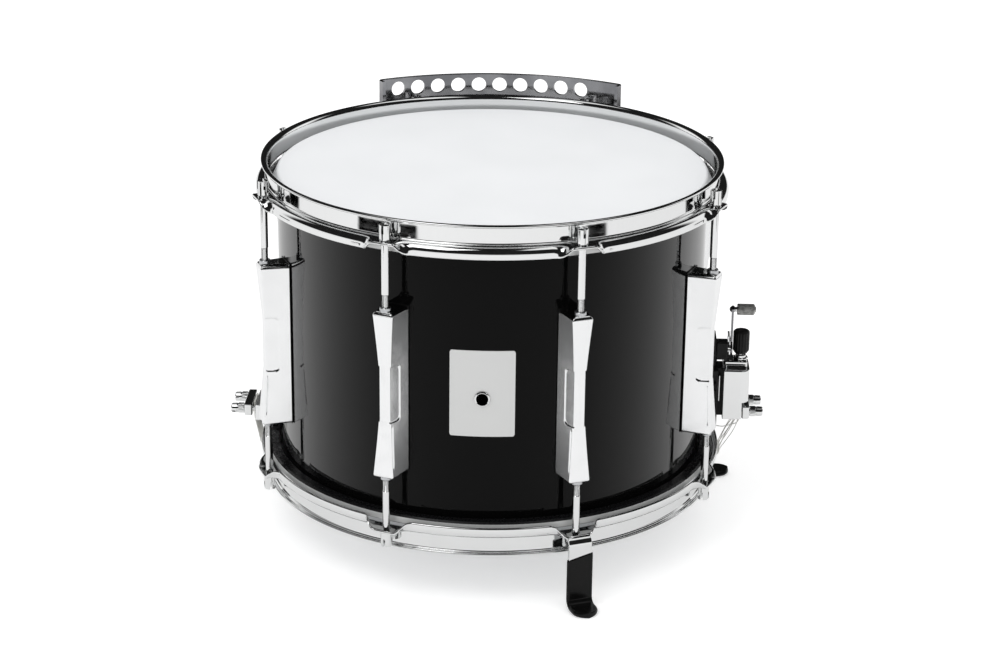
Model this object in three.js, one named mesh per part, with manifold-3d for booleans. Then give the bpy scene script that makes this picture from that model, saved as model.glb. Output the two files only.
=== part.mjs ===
// Marching snare drum, 14 by 10 inches, in millimetres, +Z up.
// The origin is the centre of the batter head's playing surface. The badge faces -Y, the
// throw-off strainer is on +X, the snare butt on -X and the carrying rail at the back, +Y.
import * as THREE from "three";
import Module from "manifold-3d";
import { mergeVertices } from "three/addons/utils/BufferGeometryUtils.js";

const wasm = await Module();
wasm.setup();

// Driving dimensions. The lever's hub and the butt's top are heights over the shell's lower edge.
const fit = 0.3;
const overrun = 1;
const shell = { radius: 177, wall: 7, height: 252.4, edge: 2, innerCut: 5 };
const head = { film: 0.5, standOff: 0.6, hoopInset: 2.6 };
const flesh = { gap: 2.5, width: 8.5, height: 8, wall: 1.6 };
const hoop = {
  standOff: 7,
  sheet: 2.3,
  rise: 10,
  wallHeight: 18.5,
  lipReach: 6,
  edge: 0.7,
  ledge: 5.05,
  bend: 2,
  flange: 9.5,
  earReach: 2.2,
  earFlat: 17,
  earRun: 13,
};
const gate = { width: 44, underLedge: 1.8, overLip: 1.8 };
const rod = {
  head: 8.8,
  headHeight: 14.2,
  collar: 14,
  collarHeight: 2,
  shank: 6.2,
  thread: 5.6,
  threadShows: 13,
  threadHidden: 14,
  slot: 2,
  slotDepth: 7,
  outside: 0.5,
};
const lug = {
  length: 138,
  drop: 4.5,
  backWidth: 17.5,
  endWidth: 17.8,
  waist: 11,
  waistLength: 46,
  cover: 6,
  pinch: 3.6,
  corner: 1.6,
  endRound: 1.8,
  boreDepth: 17,
  recessLength: 47,
  recessWidth: 11,
  recessDepth: 0.8,
};
const nut = { outside: 9.2, collar: 2.8 };
const badge = { width: 51, height: 71.5, centre: -3.8, sheet: 0.6 };
const vent = { bore: 9, barrel: 10.4, flange: 12.6, rim: 1.3, below: 4 };
const rail = {
  gap: 1.6,
  sheet: 3,
  top: 15,
  height: 20,
  before: 19,
  after: 40.5,
  hole: 13,
  pitch: 18.5,
  endReturn: 7,
  leg: 18,
  tab: 2.5,
};
const foot = {
  strip: 2.5,
  out: 4.5,
  width: 19.5,
  sleeve: 1.1,
  drop: 60,
  toe: 20.5,
  bend: 6,
  bare: 16,
  corner: 5.2,
  swivel: 24,
};
const strainer = {
  baseWidth: 34,
  plate: 4.6,
  railHeight: 10,
  railWall: 4.4,
  lipWidth: 3,
  lipDepth: 3,
};
const carriage = {
  below: 14.5,
  height: 43.5,
  depth: 22,
  width: 36,
  wall: 2,
  roof: 2.5,
  corner: 8,
  standOff: 4.5,
  notch: 15,
  seat: 4.9,
};
const lever = {
  hub: 98.2,
  arm: 34.5,
  sheet: 1.6,
  armWidth: 7,
  hubDisc: 15,
  washer: 0.4,
  crank: 8,
  crankAngle: 38,
  crankPin: 3.4,
  crankLobe: 5.6,
  hubPin: 5,
  ball: 5.6,
  gripPin: 4,
  grip: 9.7,
  gripLength: 14.6,
};
const pivot = { length: 9.5, width: 20, height: 15, cheek: 6, sunk: 2 };
const yoke = { width: 10, sheet: 1.6, rise: 6, inset: 0.8, slotPlay: 0.4, foot: 1.5 };
const knob = {
  diameter: 13.8,
  height: 18.8,
  neck: 11,
  neckHeight: 5.5,
  out: 0.6,
  spindle: 5,
  collar: 1.8,
  rib: 0.7,
};
const clamp = {
  slot: 2.4,
  plate: 6.5,
  plateHeight: 10.6,
  plateDrop: 3.7,
  proud: 0.9,
  bevel: 1.6,
  blockRoof: 10,
  floor: 1.2,
  spindleEnd: 1.5,
  play: 0.6,
};
const thumb = {
  diameter: 8.8,
  length: 11,
  taper: 0.5,
  shank: 3.6,
  spacing: 25.4,
  grip: 6,
  slot: 1.5,
  slotDepth: 3.5,
};
const butt = {
  top: 43.2,
  height: 14,
  width: 36,
  plateHeight: 9.6,
  plate: 6.9,
  reach: 21.5,
  web: 8,
  corner: 2,
};
const strand = { diameter: 1.2, count: 6, pitch: 3.9, tail: 5, barCover: 0.1, barEnd: 0.5 };

// Facets round the drum, round small turned parts and round screws.
const sidesDrum = 48;
const sidesTurned = 8;
const sidesScrew = 6;
const lugCount = 8;

// Sizes that follow from the driving dimensions, with z measured from the shell's middle.
const DEG = Math.PI / 180;
const lugAngle = 360 / lugCount;
const edgeZ = shell.height / 2;
const headZ = edgeZ + fit + head.film;
const lipZ = headZ + hoop.rise;
const ledgeZ = lipZ - hoop.wallHeight;
const wallIn = shell.radius + hoop.standOff;
const wallOut = wallIn + hoop.sheet;
const lipRadius = wallIn + hoop.lipReach;
const bendStart = wallOut + hoop.ledge;
const flangeRadius = bendStart + hoop.bend + hoop.sheet / 2;
const rodRadius = flangeRadius + rod.outside;
const lugFace = rodRadius + lug.cover;
const lugBack = shell.radius + fit;
const lugTop = lug.length / 2 - lug.drop;
const lugBottom = -lug.length / 2 - lug.drop;

// A closed solid for cutting and joining.
function toSolid(geometry) {
  const plain = geometry.index ? geometry.toNonIndexed() : geometry.clone();
  const bare = new THREE.BufferGeometry().setAttribute("position", plain.getAttribute("position"));
  const merged = mergeVertices(bare, 1e-4);
  const made = new wasm.Manifold(
    new wasm.Mesh({
      numProp: 3,
      vertProperties: merged.attributes.position.array,
      triVerts: new Uint32Array(merged.index.array),
    }),
  );
  return made;
}

function toGeometry(solid) {
  const mesh = solid.getMesh();
  const geometry = new THREE.BufferGeometry();
  geometry.setAttribute("position", new THREE.BufferAttribute(mesh.vertProperties, 3));
  geometry.setIndex(new THREE.BufferAttribute(mesh.triVerts, 1));
  return geometry;
}

function cut(body, ...tools) {
  return toGeometry(tools.reduce((left, tool) => left.subtract(toSolid(tool)), toSolid(body)));
}

function join(...bodies) {
  return toGeometry(bodies.map(toSolid).reduce((sum, body) => sum.add(body)));
}

function common(body, other) {
  return toGeometry(toSolid(body).intersect(toSolid(other)));
}

// Turns a geometry's faces round if they point inwards.
function facingOut(geometry) {
  const flat = geometry.index ? geometry.toNonIndexed() : geometry;
  const at = flat.getAttribute("position");
  const [a, b, c] = [new THREE.Vector3(), new THREE.Vector3(), new THREE.Vector3()];
  let volume = 0;
  for (let i = 0; i < at.count; i += 3) {
    a.fromBufferAttribute(at, i);
    b.fromBufferAttribute(at, i + 1);
    c.fromBufferAttribute(at, i + 2);
    volume += a.dot(b.cross(c));
  }
  if (volume > 0) return flat;
  const turned = [];
  for (let i = 0; i < at.count; i += 3) {
    for (const k of [i, i + 2, i + 1]) turned.push(at.getX(k), at.getY(k), at.getZ(k));
  }
  return new THREE.BufferGeometry().setAttribute("position", new THREE.Float32BufferAttribute(turned, 3));
}

// A profile of [radius, z] points turned about Z.
function turned(profile, sides) {
  const points = profile.map(([r, z]) => new THREE.Vector2(r, z));
  const geometry = new THREE.LatheGeometry(points, sides).rotateX(Math.PI / 2);
  const solid = toSolid(mergeVertices(facingOut(geometry), 1e-4));
  return toGeometry(solid);
}

// The same, for a ring whose profile closes on itself.
function turnedRing(profile, sides) {
  return turned([...profile, profile[0]], sides);
}

// A straight round bar along +Z from the origin.
function bar(diameter, length, sides = sidesTurned) {
  return turned(
    [
      [0, 0],
      [diameter / 2, 0],
      [diameter / 2, length],
      [0, length],
    ],
    sides,
  );
}

// The diameter of a faceted hole that a round bar of the given diameter turns in.
function runningHole(diameter, sides = sidesTurned) {
  return (diameter + 2 * fit) / Math.cos(Math.PI / sides);
}

// Makes a shape from [a, b] points, with optional holes.
function outline(points, ...holes) {
  const shape = new THREE.Shape(points.map(([a, b]) => new THREE.Vector2(a, b)));
  for (const hole of holes) shape.holes.push(new THREE.Path(hole.map(([a, b]) => new THREE.Vector2(a, b))));
  return shape;
}

// A plan outline in x and y, raised along Z from one height to another.
function raised(shape, low, high) {
  const geometry = new THREE.ExtrudeGeometry(shape, { depth: high - low, bevelEnabled: false });
  return geometry.translate(0, 0, low);
}

// A side outline in x and z, as wide along Y as asked, centred on y = 0.
function sideways(shape, width) {
  const geometry = new THREE.ExtrudeGeometry(shape, { depth: width, bevelEnabled: false });
  return geometry.rotateX(Math.PI / 2).translate(0, width / 2, 0);
}

// A front outline in y and z, reaching along +X from one radius to another.
function outward(shape, near, far) {
  const geometry = new THREE.ExtrudeGeometry(shape, { depth: far - near, bevelEnabled: false });
  return geometry.rotateY(Math.PI / 2).rotateX(Math.PI / 2).translate(near, 0, 0);
}

function block(x0, x1, y0, y1, z0, z1) {
  const box = new THREE.BoxGeometry(x1 - x0, y1 - y0, z1 - z0);
  return box.translate((x0 + x1) / 2, (y0 + y1) / 2, (z0 + z1) / 2);
}

// Points of an arc about a centre, from one angle in degrees to another.
function arc(ca, cb, radius, from, to, steps) {
  const points = [];
  for (let i = 0; i <= steps; i += 1) {
    const turn = (from + ((to - from) * i) / steps) * DEG;
    points.push([ca + radius * Math.cos(turn), cb + radius * Math.sin(turn)]);
  }
  return points;
}

// A point at a radius and an angle in degrees.
function polar(radius, angle) {
  return [radius * Math.cos(angle * DEG), radius * Math.sin(angle * DEG)];
}

// Joins rings of equal point counts into one closed skin, looped or with flat convex ends.
function skin(rings, looped) {
  const count = rings[0].length;
  const places = rings.flat().flat();
  const faces = [];
  const last = looped ? rings.length : rings.length - 1;
  for (let i = 0; i < last; i += 1) {
    const here = i * count;
    const there = ((i + 1) % rings.length) * count;
    for (let k = 0; k < count; k += 1) {
      const next = (k + 1) % count;
      faces.push(here + k, here + next, there + next, here + k, there + next, there + k);
    }
  }
  if (!looped) {
    const end = (rings.length - 1) * count;
    for (let k = 1; k < count - 1; k += 1) {
      faces.push(0, k + 1, k);
      faces.push(end, end + k, end + k + 1);
    }
  }
  const geometry = new THREE.BufferGeometry();
  geometry.setAttribute("position", new THREE.Float32BufferAttribute(places, 3));
  geometry.setIndex(faces);
  return facingOut(geometry);
}

// Finishes. Colours and gloss follow the photograph.
const finishes = {
  chrome: { color: 0xd8dadc, roughness: 0.08, metalness: 1 },
  lacquer: { color: 0x060606, roughness: 0.06, metalness: 0 },
  film: { color: 0xf2f4f6, roughness: 0.35, metalness: 0 },
  anodised: { color: 0x151517, roughness: 0.3, metalness: 0.6 },
  plate: { color: 0xb4b6b8, roughness: 0.35, metalness: 0.8 },
  rubber: { color: 0x0b0b0b, roughness: 0.45, metalness: 0 },
  plastic: { color: 0x0d0d0d, roughness: 0.5, metalness: 0 },
  steel: { color: 0x8f9194, roughness: 0.35, metalness: 1 },
  cable: { color: 0xdcdcd8, roughness: 0.5, metalness: 0 },
};

const drum = new THREE.Group();
drum.position.z = -headZ;

function place(name, geometry, finish, parent = drum) {
  const mesh = new THREE.Mesh(geometry, new THREE.MeshStandardMaterial(finishes[finish]));
  mesh.name = name;
  parent.add(mesh);
  return mesh;
}

// A group turned so that its own +X points outwards at an angle from the badge.
function spoke(angle) {
  const group = new THREE.Group();
  group.rotation.z = (angle - 90) * DEG;
  drum.add(group);
  return group;
}

// The angle of a lug, from the badge towards the strainer.
function lugAngleOf(index) {
  return (index + 0.5) * lugAngle;
}

// A tool geometry, made pointing +X, turned to an angle from the badge.
function turnedTo(geometry, angle) {
  return geometry.clone().rotateZ((angle - 90) * DEG);
}

const hubZ = lever.hub - edgeZ;
const strainerTop = hubZ + pivot.height * 0.8;

// A bore pointing +X, to cut through a wall for a radial screw.
function radialBore(diameter, near, far, height, sides = sidesScrew) {
  return bar(diameter, far - near, sides).rotateY(Math.PI / 2).translate(near, 0, height);
}

// The shell: a ply tube with bearing edges, bored for the vent.
function makeShell() {
  const outer = shell.radius;
  const inner = shell.radius - shell.wall;
  const body = turnedRing(
    [
      [inner, -edgeZ + shell.innerCut],
      [outer - shell.edge, -edgeZ],
      [outer, -edgeZ + shell.edge],
      [outer, edgeZ - shell.edge],
      [outer - shell.edge, edgeZ],
      [inner, edgeZ - shell.innerCut],
    ],
    sidesDrum,
  );
  const height = badge.centre - vent.below;
  const bore = radialBore(runningHole(vent.barrel), inner - overrun, outer + overrun, height, sidesTurned);
  return cut(body, turnedTo(bore, 0));
}

// A head's film: flat over the bearing edge, then down into the flesh hoop's channel.
const collarRadius = shell.radius + flesh.gap + head.hoopInset;
const channelTop = ledgeZ - hoop.sheet - fit;
const channelFloor = channelTop - flesh.height + flesh.wall;

function makeFilm() {
  const crown = shell.radius - shell.edge;
  const shoulder = shell.radius + head.standOff;
  return turned(
    [
      [0, headZ],
      [crown, headZ],
      [shoulder + head.film, edgeZ - shell.edge + fit],
      [collarRadius, channelTop],
      [collarRadius, channelFloor + fit],
      [collarRadius - head.film, channelFloor + fit],
      [shoulder, edgeZ - shell.edge],
      [crown, headZ - head.film],
      [0, headZ - head.film],
    ],
    sidesDrum,
  );
}

// The flesh hoop: a channel ring under the counter hoop's ledge.
function makeFleshHoop() {
  const inner = shell.radius + flesh.gap;
  const outer = inner + flesh.width;
  return turnedRing(
    [
      [inner - flesh.wall / 2, channelFloor],
      [inner - flesh.wall / 2, channelTop - flesh.height],
      [outer, channelTop - flesh.height],
      [outer, channelTop],
      [collarRadius + fit, channelTop],
      [collarRadius + fit, channelFloor],
    ],
    sidesDrum,
  );
}

// The hoop's section at a place: from 0, the flange hangs down, to 1, it lies flat as an ear.
function hoopSection(ear) {
  const mid = ledgeZ - hoop.sheet / 2;
  const half = hoop.sheet / 2;
  const swing = (1 - ear) * (Math.PI / 2);
  const curl = (hoop.bend * Math.PI) / 2;
  const straight = hoop.flange - half - hoop.bend + ear * hoop.earReach;
  const along = swing > 0 ? (curl * Math.sin(swing)) / swing : curl;
  const fall = swing > 0 ? (curl * (1 - Math.cos(swing))) / swing : 0;
  const [cos, sin] = [Math.cos(swing), Math.sin(swing)];
  const at = (r, z, side) => [r + side * half * sin, z + side * half * cos];
  const bendEnd = [bendStart + along, mid - fall];
  const rim = [bendEnd[0] + straight * cos, bendEnd[1] - straight * sin];
  return [
    [wallOut, lipZ - hoop.sheet],
    [wallOut, ledgeZ],
    [bendStart, ledgeZ],
    at(...bendEnd, 1),
    at(...rim, 1),
    at(...rim, -1),
    at(...bendEnd, -1),
    [bendStart, ledgeZ - hoop.sheet],
    [wallIn, ledgeZ - hoop.sheet],
    [wallIn, lipZ],
    [lipRadius - hoop.edge, lipZ],
    [lipRadius, lipZ - hoop.sheet + hoop.edge],
  ];
}

// A counter hoop, pressed from sheet: lip, wall, ledge and flange, with an ear at each rod.
const earStepShares = [0, 0.5, 1];
const bandStepShares = [0.5, 1];

function makeHoop() {
  const flat = hoop.earFlat / 2 / rodRadius / DEG;
  const run = hoop.earRun / rodRadius / DEG;
  const half = lugAngle / 2;
  const steps = earStepShares.map((share) => [flat + share * run, 1 - (3 - 2 * share) * share * share]);
  for (const share of bandStepShares) steps.push([flat + run + share * (half - flat - run), 0]);
  const stations = [];
  for (let i = 0; i < lugCount; i += 1) {
    const centre = lugAngleOf(i);
    for (const [away, ear] of [...steps].slice(0, -1).reverse()) stations.push([centre - away, ear]);
    for (const [away, ear] of steps) stations.push([centre + away, ear]);
  }
  const rings = stations.map(([angle, ear]) => {
    const [x, y] = [Math.sin(angle * DEG), -Math.cos(angle * DEG)];
    return hoopSection(ear).map(([r, z]) => [r * x, r * y, z]);
  });
  const hole = bar(runningHole(rod.shank), hoop.sheet + 2 * overrun);
  hole.translate(rodRadius, 0, ledgeZ - hoop.sheet - overrun);
  const holes = [];
  for (let i = 0; i < lugCount; i += 1) holes.push(turnedTo(hole, lugAngleOf(i)));
  return cut(skin(rings, true), ...holes);
}

// Turns a piece made for the batter side over to the snare side.
function flipped(geometry) {
  return geometry.clone().rotateX(Math.PI);
}

// The snare-side hoop has a gate through its wall at each end of the snare bed.
function makeBottomHoop() {
  const low = -lipZ + hoop.sheet + gate.overLip;
  const high = -ledgeZ - gate.underLedge;
  const near = wallIn - hoop.sheet - gate.width / 8;
  const far = wallOut + hoop.edge;
  const window = block(near, far, -gate.width / 2, gate.width / 2, low, high);
  return cut(flipped(makeHoop()), turnedTo(window, 90), turnedTo(window, -90));
}

// A tension rod: cross-slotted head, round collar, shank and thread.
function makeRod(seat, lugEnd) {
  const collarTop = seat + rod.collarHeight;
  const top = collarTop + rod.headHeight;
  const body = turned(
    [
      [0, lugEnd - rod.threadHidden],
      [rod.thread / 2, lugEnd - rod.threadHidden],
      [rod.thread / 2, lugEnd + rod.threadShows],
      [rod.shank / 2, lugEnd + rod.threadShows],
      [rod.shank / 2, seat],
      [rod.collar / 2, seat],
      [rod.collar / 2, collarTop],
      [rod.head / 2, collarTop],
      [rod.head / 2, top],
      [0, top],
    ],
    sidesTurned,
  );
  const slot = block(-rod.head, rod.head, -rod.slot / 2, rod.slot / 2, top - rod.slotDepth, top + overrun);
  return cut(body, slot, slot.clone().rotateZ(Math.PI / 2));
}

// A double-ended lug: wide flat ends drawn in to a waist, each side of the waist sunk behind
// the face, and the collar of a pressed-in threaded nut proud of both ends.
function makeLug() {
  const middle = -lug.drop;
  const waistHalf = lug.waistLength / 2;
  const sections = [
    [lugBottom, lug.endWidth - lug.endRound, lugFace - lug.endRound],
    [lugBottom + lug.endRound, lug.endWidth, lugFace],
    [middle - waistHalf, lug.waist, lugFace - lug.pinch],
    [middle + waistHalf, lug.waist, lugFace - lug.pinch],
    [lugTop - lug.endRound, lug.endWidth, lugFace],
    [lugTop, lug.endWidth - lug.endRound, lugFace - lug.endRound],
  ];
  const rings = sections.map(([z, width, face]) => {
    const half = width / 2;
    return [
      [lugBack, -lug.backWidth / 2, z],
      [face - lug.corner, -half, z],
      [face, -half + lug.corner, z],
      [face, half - lug.corner, z],
      [face - lug.corner, half, z],
      [lugBack, lug.backWidth / 2, z],
    ];
  });
  const waistFace = lugFace - lug.pinch;
  const slope = Math.atan2((lug.backWidth - lug.waist) / 2, waistFace - lugBack);
  const chamfer = lug.recessWidth / 4;
  const tall = lug.recessLength / 2;
  const pocketShape = outline([
    [-lug.recessWidth, -tall + chamfer],
    [-lug.recessWidth + chamfer, -tall],
    [lug.pinch, -tall],
    [lug.pinch, tall],
    [-lug.recessWidth + chamfer, tall],
    [-lug.recessWidth, tall - chamfer],
  ]);
  const pockets = [-1, 1].map((side) => {
    const pocket = sideways(pocketShape, 2 * lug.recessDepth);
    pocket.rotateZ(-side * slope);
    return pocket.translate(waistFace, (side * lug.waist) / 2, middle);
  });
  const collar = bar(nut.outside, nut.collar + overrun, sidesScrew);
  const collars = [
    collar.clone().translate(rodRadius, 0, lugTop - overrun),
    collar.clone().translate(rodRadius, 0, lugBottom - nut.collar),
  ];
  const socket = bar(runningHole(rod.thread, sidesScrew), lug.boreDepth + nut.collar + overrun, sidesScrew);
  const sockets = [
    socket.clone().translate(rodRadius, 0, lugTop - lug.boreDepth),
    socket.clone().translate(rodRadius, 0, lugBottom - nut.collar - overrun),
  ];
  return cut(join(cut(skin(rings, false), ...pockets), ...collars), ...sockets);
}

// The badge: a thin curved plate on the shell, bored for the vent.
function makeBadge() {
  const near = shell.radius + fit;
  const far = near + badge.sheet;
  const half = badge.width / 2 / near / DEG;
  const steps = Math.ceil((2 * half) / (360 / sidesDrum)) * 2;
  const plan = outline([...arc(0, 0, near, -half, half, steps), ...arc(0, 0, far, half, -half, steps)]);
  const plate = raised(plan, badge.centre - badge.height / 2, badge.centre + badge.height / 2);
  const height = badge.centre - vent.below;
  return cut(plate, radialBore(runningHole(vent.barrel), near - overrun, far + overrun, height, sidesTurned));
}

// The vent grommet, from its outer rim through badge and shell to its rolled inner end.
function makeVent() {
  const front = shell.radius + fit + badge.sheet + fit;
  const back = shell.radius - shell.wall - 2 * fit;
  const barrel = vent.barrel / 2;
  const ring = turnedRing(
    [
      [vent.bore / 2, back - vent.rim],
      [vent.flange / 2, back - vent.rim],
      [vent.flange / 2, back],
      [barrel, back],
      [barrel, front],
      [vent.flange / 2, front],
      [vent.flange / 2, front + vent.rim],
      [vent.bore / 2, front + vent.rim],
    ],
    sidesTurned + 4,
  );
  return ring.rotateY(Math.PI / 2).translate(0, 0, badge.centre - vent.below);
}

// The carrying rail: a bent strip of hook holes with a longer plain end, on two legs that each
// end in a tab clamped between a rear tension rod's collar and the hoop's ear.
const railRadius = rodRadius + rod.collar / 2 + rail.gap;
const railTopZ = lipZ + rail.top;
const railHoleZ = railTopZ - rail.height / 2;
const railHoles = 10;
const railTurn = (reach) => reach / railRadius / DEG;
const railHalf = railTurn((railHoles - 1) * rail.pitch + rail.before + rail.after) / 2;
const railHoleAngle = (index) => railHalf - railTurn(rail.before + index * rail.pitch);
const tabFloor = ledgeZ + fit;
const tabTop = tabFloor + rail.tab;

function makeRail() {
  const outer = railRadius + rail.sheet;
  const half = railHalf;
  const back = railRadius - rail.endReturn;
  const turn = half - railTurn(rail.sheet);
  const [first, last] = [railHoleAngle(-0.5), railHoleAngle(railHoles - 0.5)];
  const plain = (last - half) / 2;
  const flats = (radius) => [polar(radius, plain), ...arc(0, 0, radius, last, first, railHoles)];
  const plan = [
    polar(outer, -half),
    ...flats(outer),
    polar(outer, half),
    polar(back, half),
    polar(back, turn),
    polar(railRadius, turn),
    ...flats(railRadius).reverse(),
    polar(railRadius, -turn),
    polar(back, -turn),
    polar(back, -half),
  ];
  const strip = raised(outline(plan), railTopZ - rail.height, railTopZ);
  const legHalf = railTurn(rail.leg) / 2;
  const legs = [];
  for (const side of [-1, 1]) {
    const middle = (side * lugAngle) / 2;
    const legPlan = outline([
      ...arc(0, 0, outer, middle - legHalf, middle + legHalf, 2),
      ...arc(0, 0, railRadius, middle + legHalf, middle - legHalf, 2),
    ]);
    legs.push(raised(legPlan, tabFloor, railTopZ - rail.height + overrun));
    const nearEnd = wallOut + 4 * fit;
    const tab = block(nearEnd, railRadius + rail.sheet / 2, -rail.leg / 2, rail.leg / 2, tabFloor, tabTop);
    const bore = bar(runningHole(rod.shank), rail.tab + 2 * overrun);
    bore.translate(rodRadius, 0, tabFloor - overrun);
    legs.push(cut(tab, bore).rotateZ(middle * DEG));
  }
  const holes = [];
  for (let i = 0; i < railHoles; i += 1) {
    const hole = radialBore(rail.hole, railRadius - overrun, outer + overrun, railHoleZ, sidesTurned);
    holes.push(hole.rotateZ(railHoleAngle(i) * DEG));
  }
  return cut(join(strip, ...legs), ...holes);
}

// A foot: a strip clamped under a lower rod's collar, bent down and then out to a round toe.
const tabUnder = -ledgeZ - fit;
const footOut = foot.bend + foot.out;
const footFloor = tabUnder - foot.drop;
const footSteps = 2;

// The side outline of the foot, thickened by a skin, from a given height down to the floor.
function footSide(skinDepth, top) {
  const inner = rodRadius + footOut - foot.strip / 2 - skinDepth;
  const outer = inner + foot.strip + 2 * skinDepth;
  const toeTop = footFloor + foot.strip + 2 * foot.sleeve + skinDepth - foot.sleeve;
  const toeFloor = footFloor + foot.sleeve - skinDepth;
  const tip = rodRadius + footOut + foot.toe + skinDepth;
  const turnIn = foot.bend - skinDepth;
  const turnOut = foot.bend + foot.strip + skinDepth;
  return [
    [outer, top],
    [inner, top],
    ...arc(inner + turnOut, toeFloor + turnOut, turnOut, 180, 270, footSteps),
    [tip, toeFloor],
    [tip, toeTop],
    ...arc(outer + turnIn, toeTop + turnIn, turnIn, 270, 180, footSteps),
  ];
}

// A plan outline with a round toe and clipped inner corners, to trim the strip and its sleeve.
function toePlan(width, reach, near) {
  const half = width / 2;
  return outline([
    [near, -half + foot.corner],
    [near + foot.corner, -half],
    ...arc(reach - half, 0, half, -90, 90, 2 * footSteps),
    [near + foot.corner, half],
    [near, half - foot.corner],
  ]);
}

function makeFootStrip() {
  const inner = rodRadius + footOut - foot.strip / 2;
  const near = wallOut + 6 * fit;
  const side = footSide(0, tabUnder);
  const tab = [
    [near, tabUnder],
    [near, tabUnder - foot.strip],
    [inner, tabUnder - foot.strip],
  ];
  const profile = [...side.slice(0, 1), ...tab, ...side.slice(2)];
  const strip = sideways(outline(profile), foot.width);
  const tip = rodRadius + footOut + foot.toe;
  const trim = raised(toePlan(foot.width - fit, tip, near), footFloor - overrun, tabUnder + overrun);
  const bore = bar(runningHole(rod.shank), foot.strip + 2 * overrun);
  bore.translate(rodRadius, 0, tabUnder - foot.strip - overrun);
  return cut(common(strip, trim), bore);
}

function makeSleeve() {
  const top = tabUnder - foot.bare;
  const tip = rodRadius + footOut + foot.toe;
  const near = rodRadius;
  const wide = foot.width + 2 * foot.sleeve;
  const outside = common(
    sideways(outline(footSide(foot.sleeve, top)), wide),
    raised(toePlan(wide, tip + foot.sleeve, near), footFloor - overrun, top + overrun),
  );
  const room = fit / 2;
  const inside = common(
    sideways(outline(footSide(room, top + overrun)), foot.width + room),
    raised(toePlan(foot.width + room, tip + room, near), footFloor - overrun, top + 2 * overrun),
  );
  return cut(outside, inside);
}

// Radii of the strainer's layers, from the shell outwards.
const baseNear = shell.radius + fit;
const baseFace = baseNear + strainer.plate;
const railFace = baseFace + strainer.railHeight;
const boxNear = railFace + carriage.standOff;
const boxFar = boxNear + carriage.depth;
const pivotNear = railFace - pivot.sunk;
const pivotFar = pivotNear + pivot.length;
const yokeNear = pivotFar + lever.washer;
const yokeFar = yokeNear + yoke.sheet;
const leverNear = yokeFar + lever.washer;
const leverFar = leverNear + lever.sheet;
const knobRadius = leverFar + knob.out + knob.diameter / 2;
const boxTop = hubZ - carriage.below;
const boxFloor = boxTop - carriage.height;
const tongueHalf = strainer.baseWidth / 2 - strainer.railWall - 4 * fit;
const neckHalf = tongueHalf - strainer.lipWidth;

// The strainer's base: a plate on the shell, a T-slot for the carriage and a pillar.
function makeStrainerBase() {
  const half = strainer.baseWidth / 2;
  const slotFloor = boxFloor - lever.crank;
  const slotTop = boxTop - fit;
  const plate = block(baseNear, baseFace, -half, half, slotFloor, strainerTop);
  const lipNear = railFace - strainer.lipDepth;
  const rails = [-1, 1].map((side) => {
    const wall = [
      [baseFace - overrun, side * half],
      [railFace, side * half],
      [railFace, side * (neckHalf + fit)],
      [lipNear, side * (neckHalf + fit)],
      [lipNear, side * (tongueHalf + fit)],
      [baseFace - overrun, side * (tongueHalf + fit)],
    ];
    return raised(outline(side > 0 ? wall : wall.reverse()), slotFloor, slotTop);
  });
  const pillarNear = pivotNear - fit;
  const pillar = block(
    baseFace - overrun,
    pillarNear,
    -pivot.width / 2,
    pivot.width / 2,
    slotTop + fit,
    strainerTop,
  );
  const [boreNear, boreFar] = [pillarNear - 4 * overrun, pillarNear + overrun];
  const hubBore = radialBore(runningHole(lever.hubPin), boreNear, boreFar, hubZ, sidesTurned);
  return cut(join(plate, ...rails, pillar), hubBore);
}

// The black pivot block: a flat cheek at the front and the barrel that the hub pin turns in.
function makePivotBlock() {
  const front = -pivot.width / 2;
  const [low, top] = [hubZ - pivot.height / 2, hubZ + pivot.height / 2];
  const cheek = block(pivotNear, pivotFar, front, front + pivot.cheek, low, top);
  const web = block(pivotNear, pivotFar, front + pivot.cheek / 2, 0, low, hubZ);
  const barrel = radialBore(pivot.height, pivotNear + fit, pivotFar, hubZ, 12);
  const [boreNear, boreFar] = [pivotNear - overrun, pivotFar + overrun];
  const bore = radialBore(runningHole(lever.hubPin), boreNear, boreFar, hubZ, sidesTurned);
  return cut(join(cheek, web, barrel), bore);
}

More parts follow.
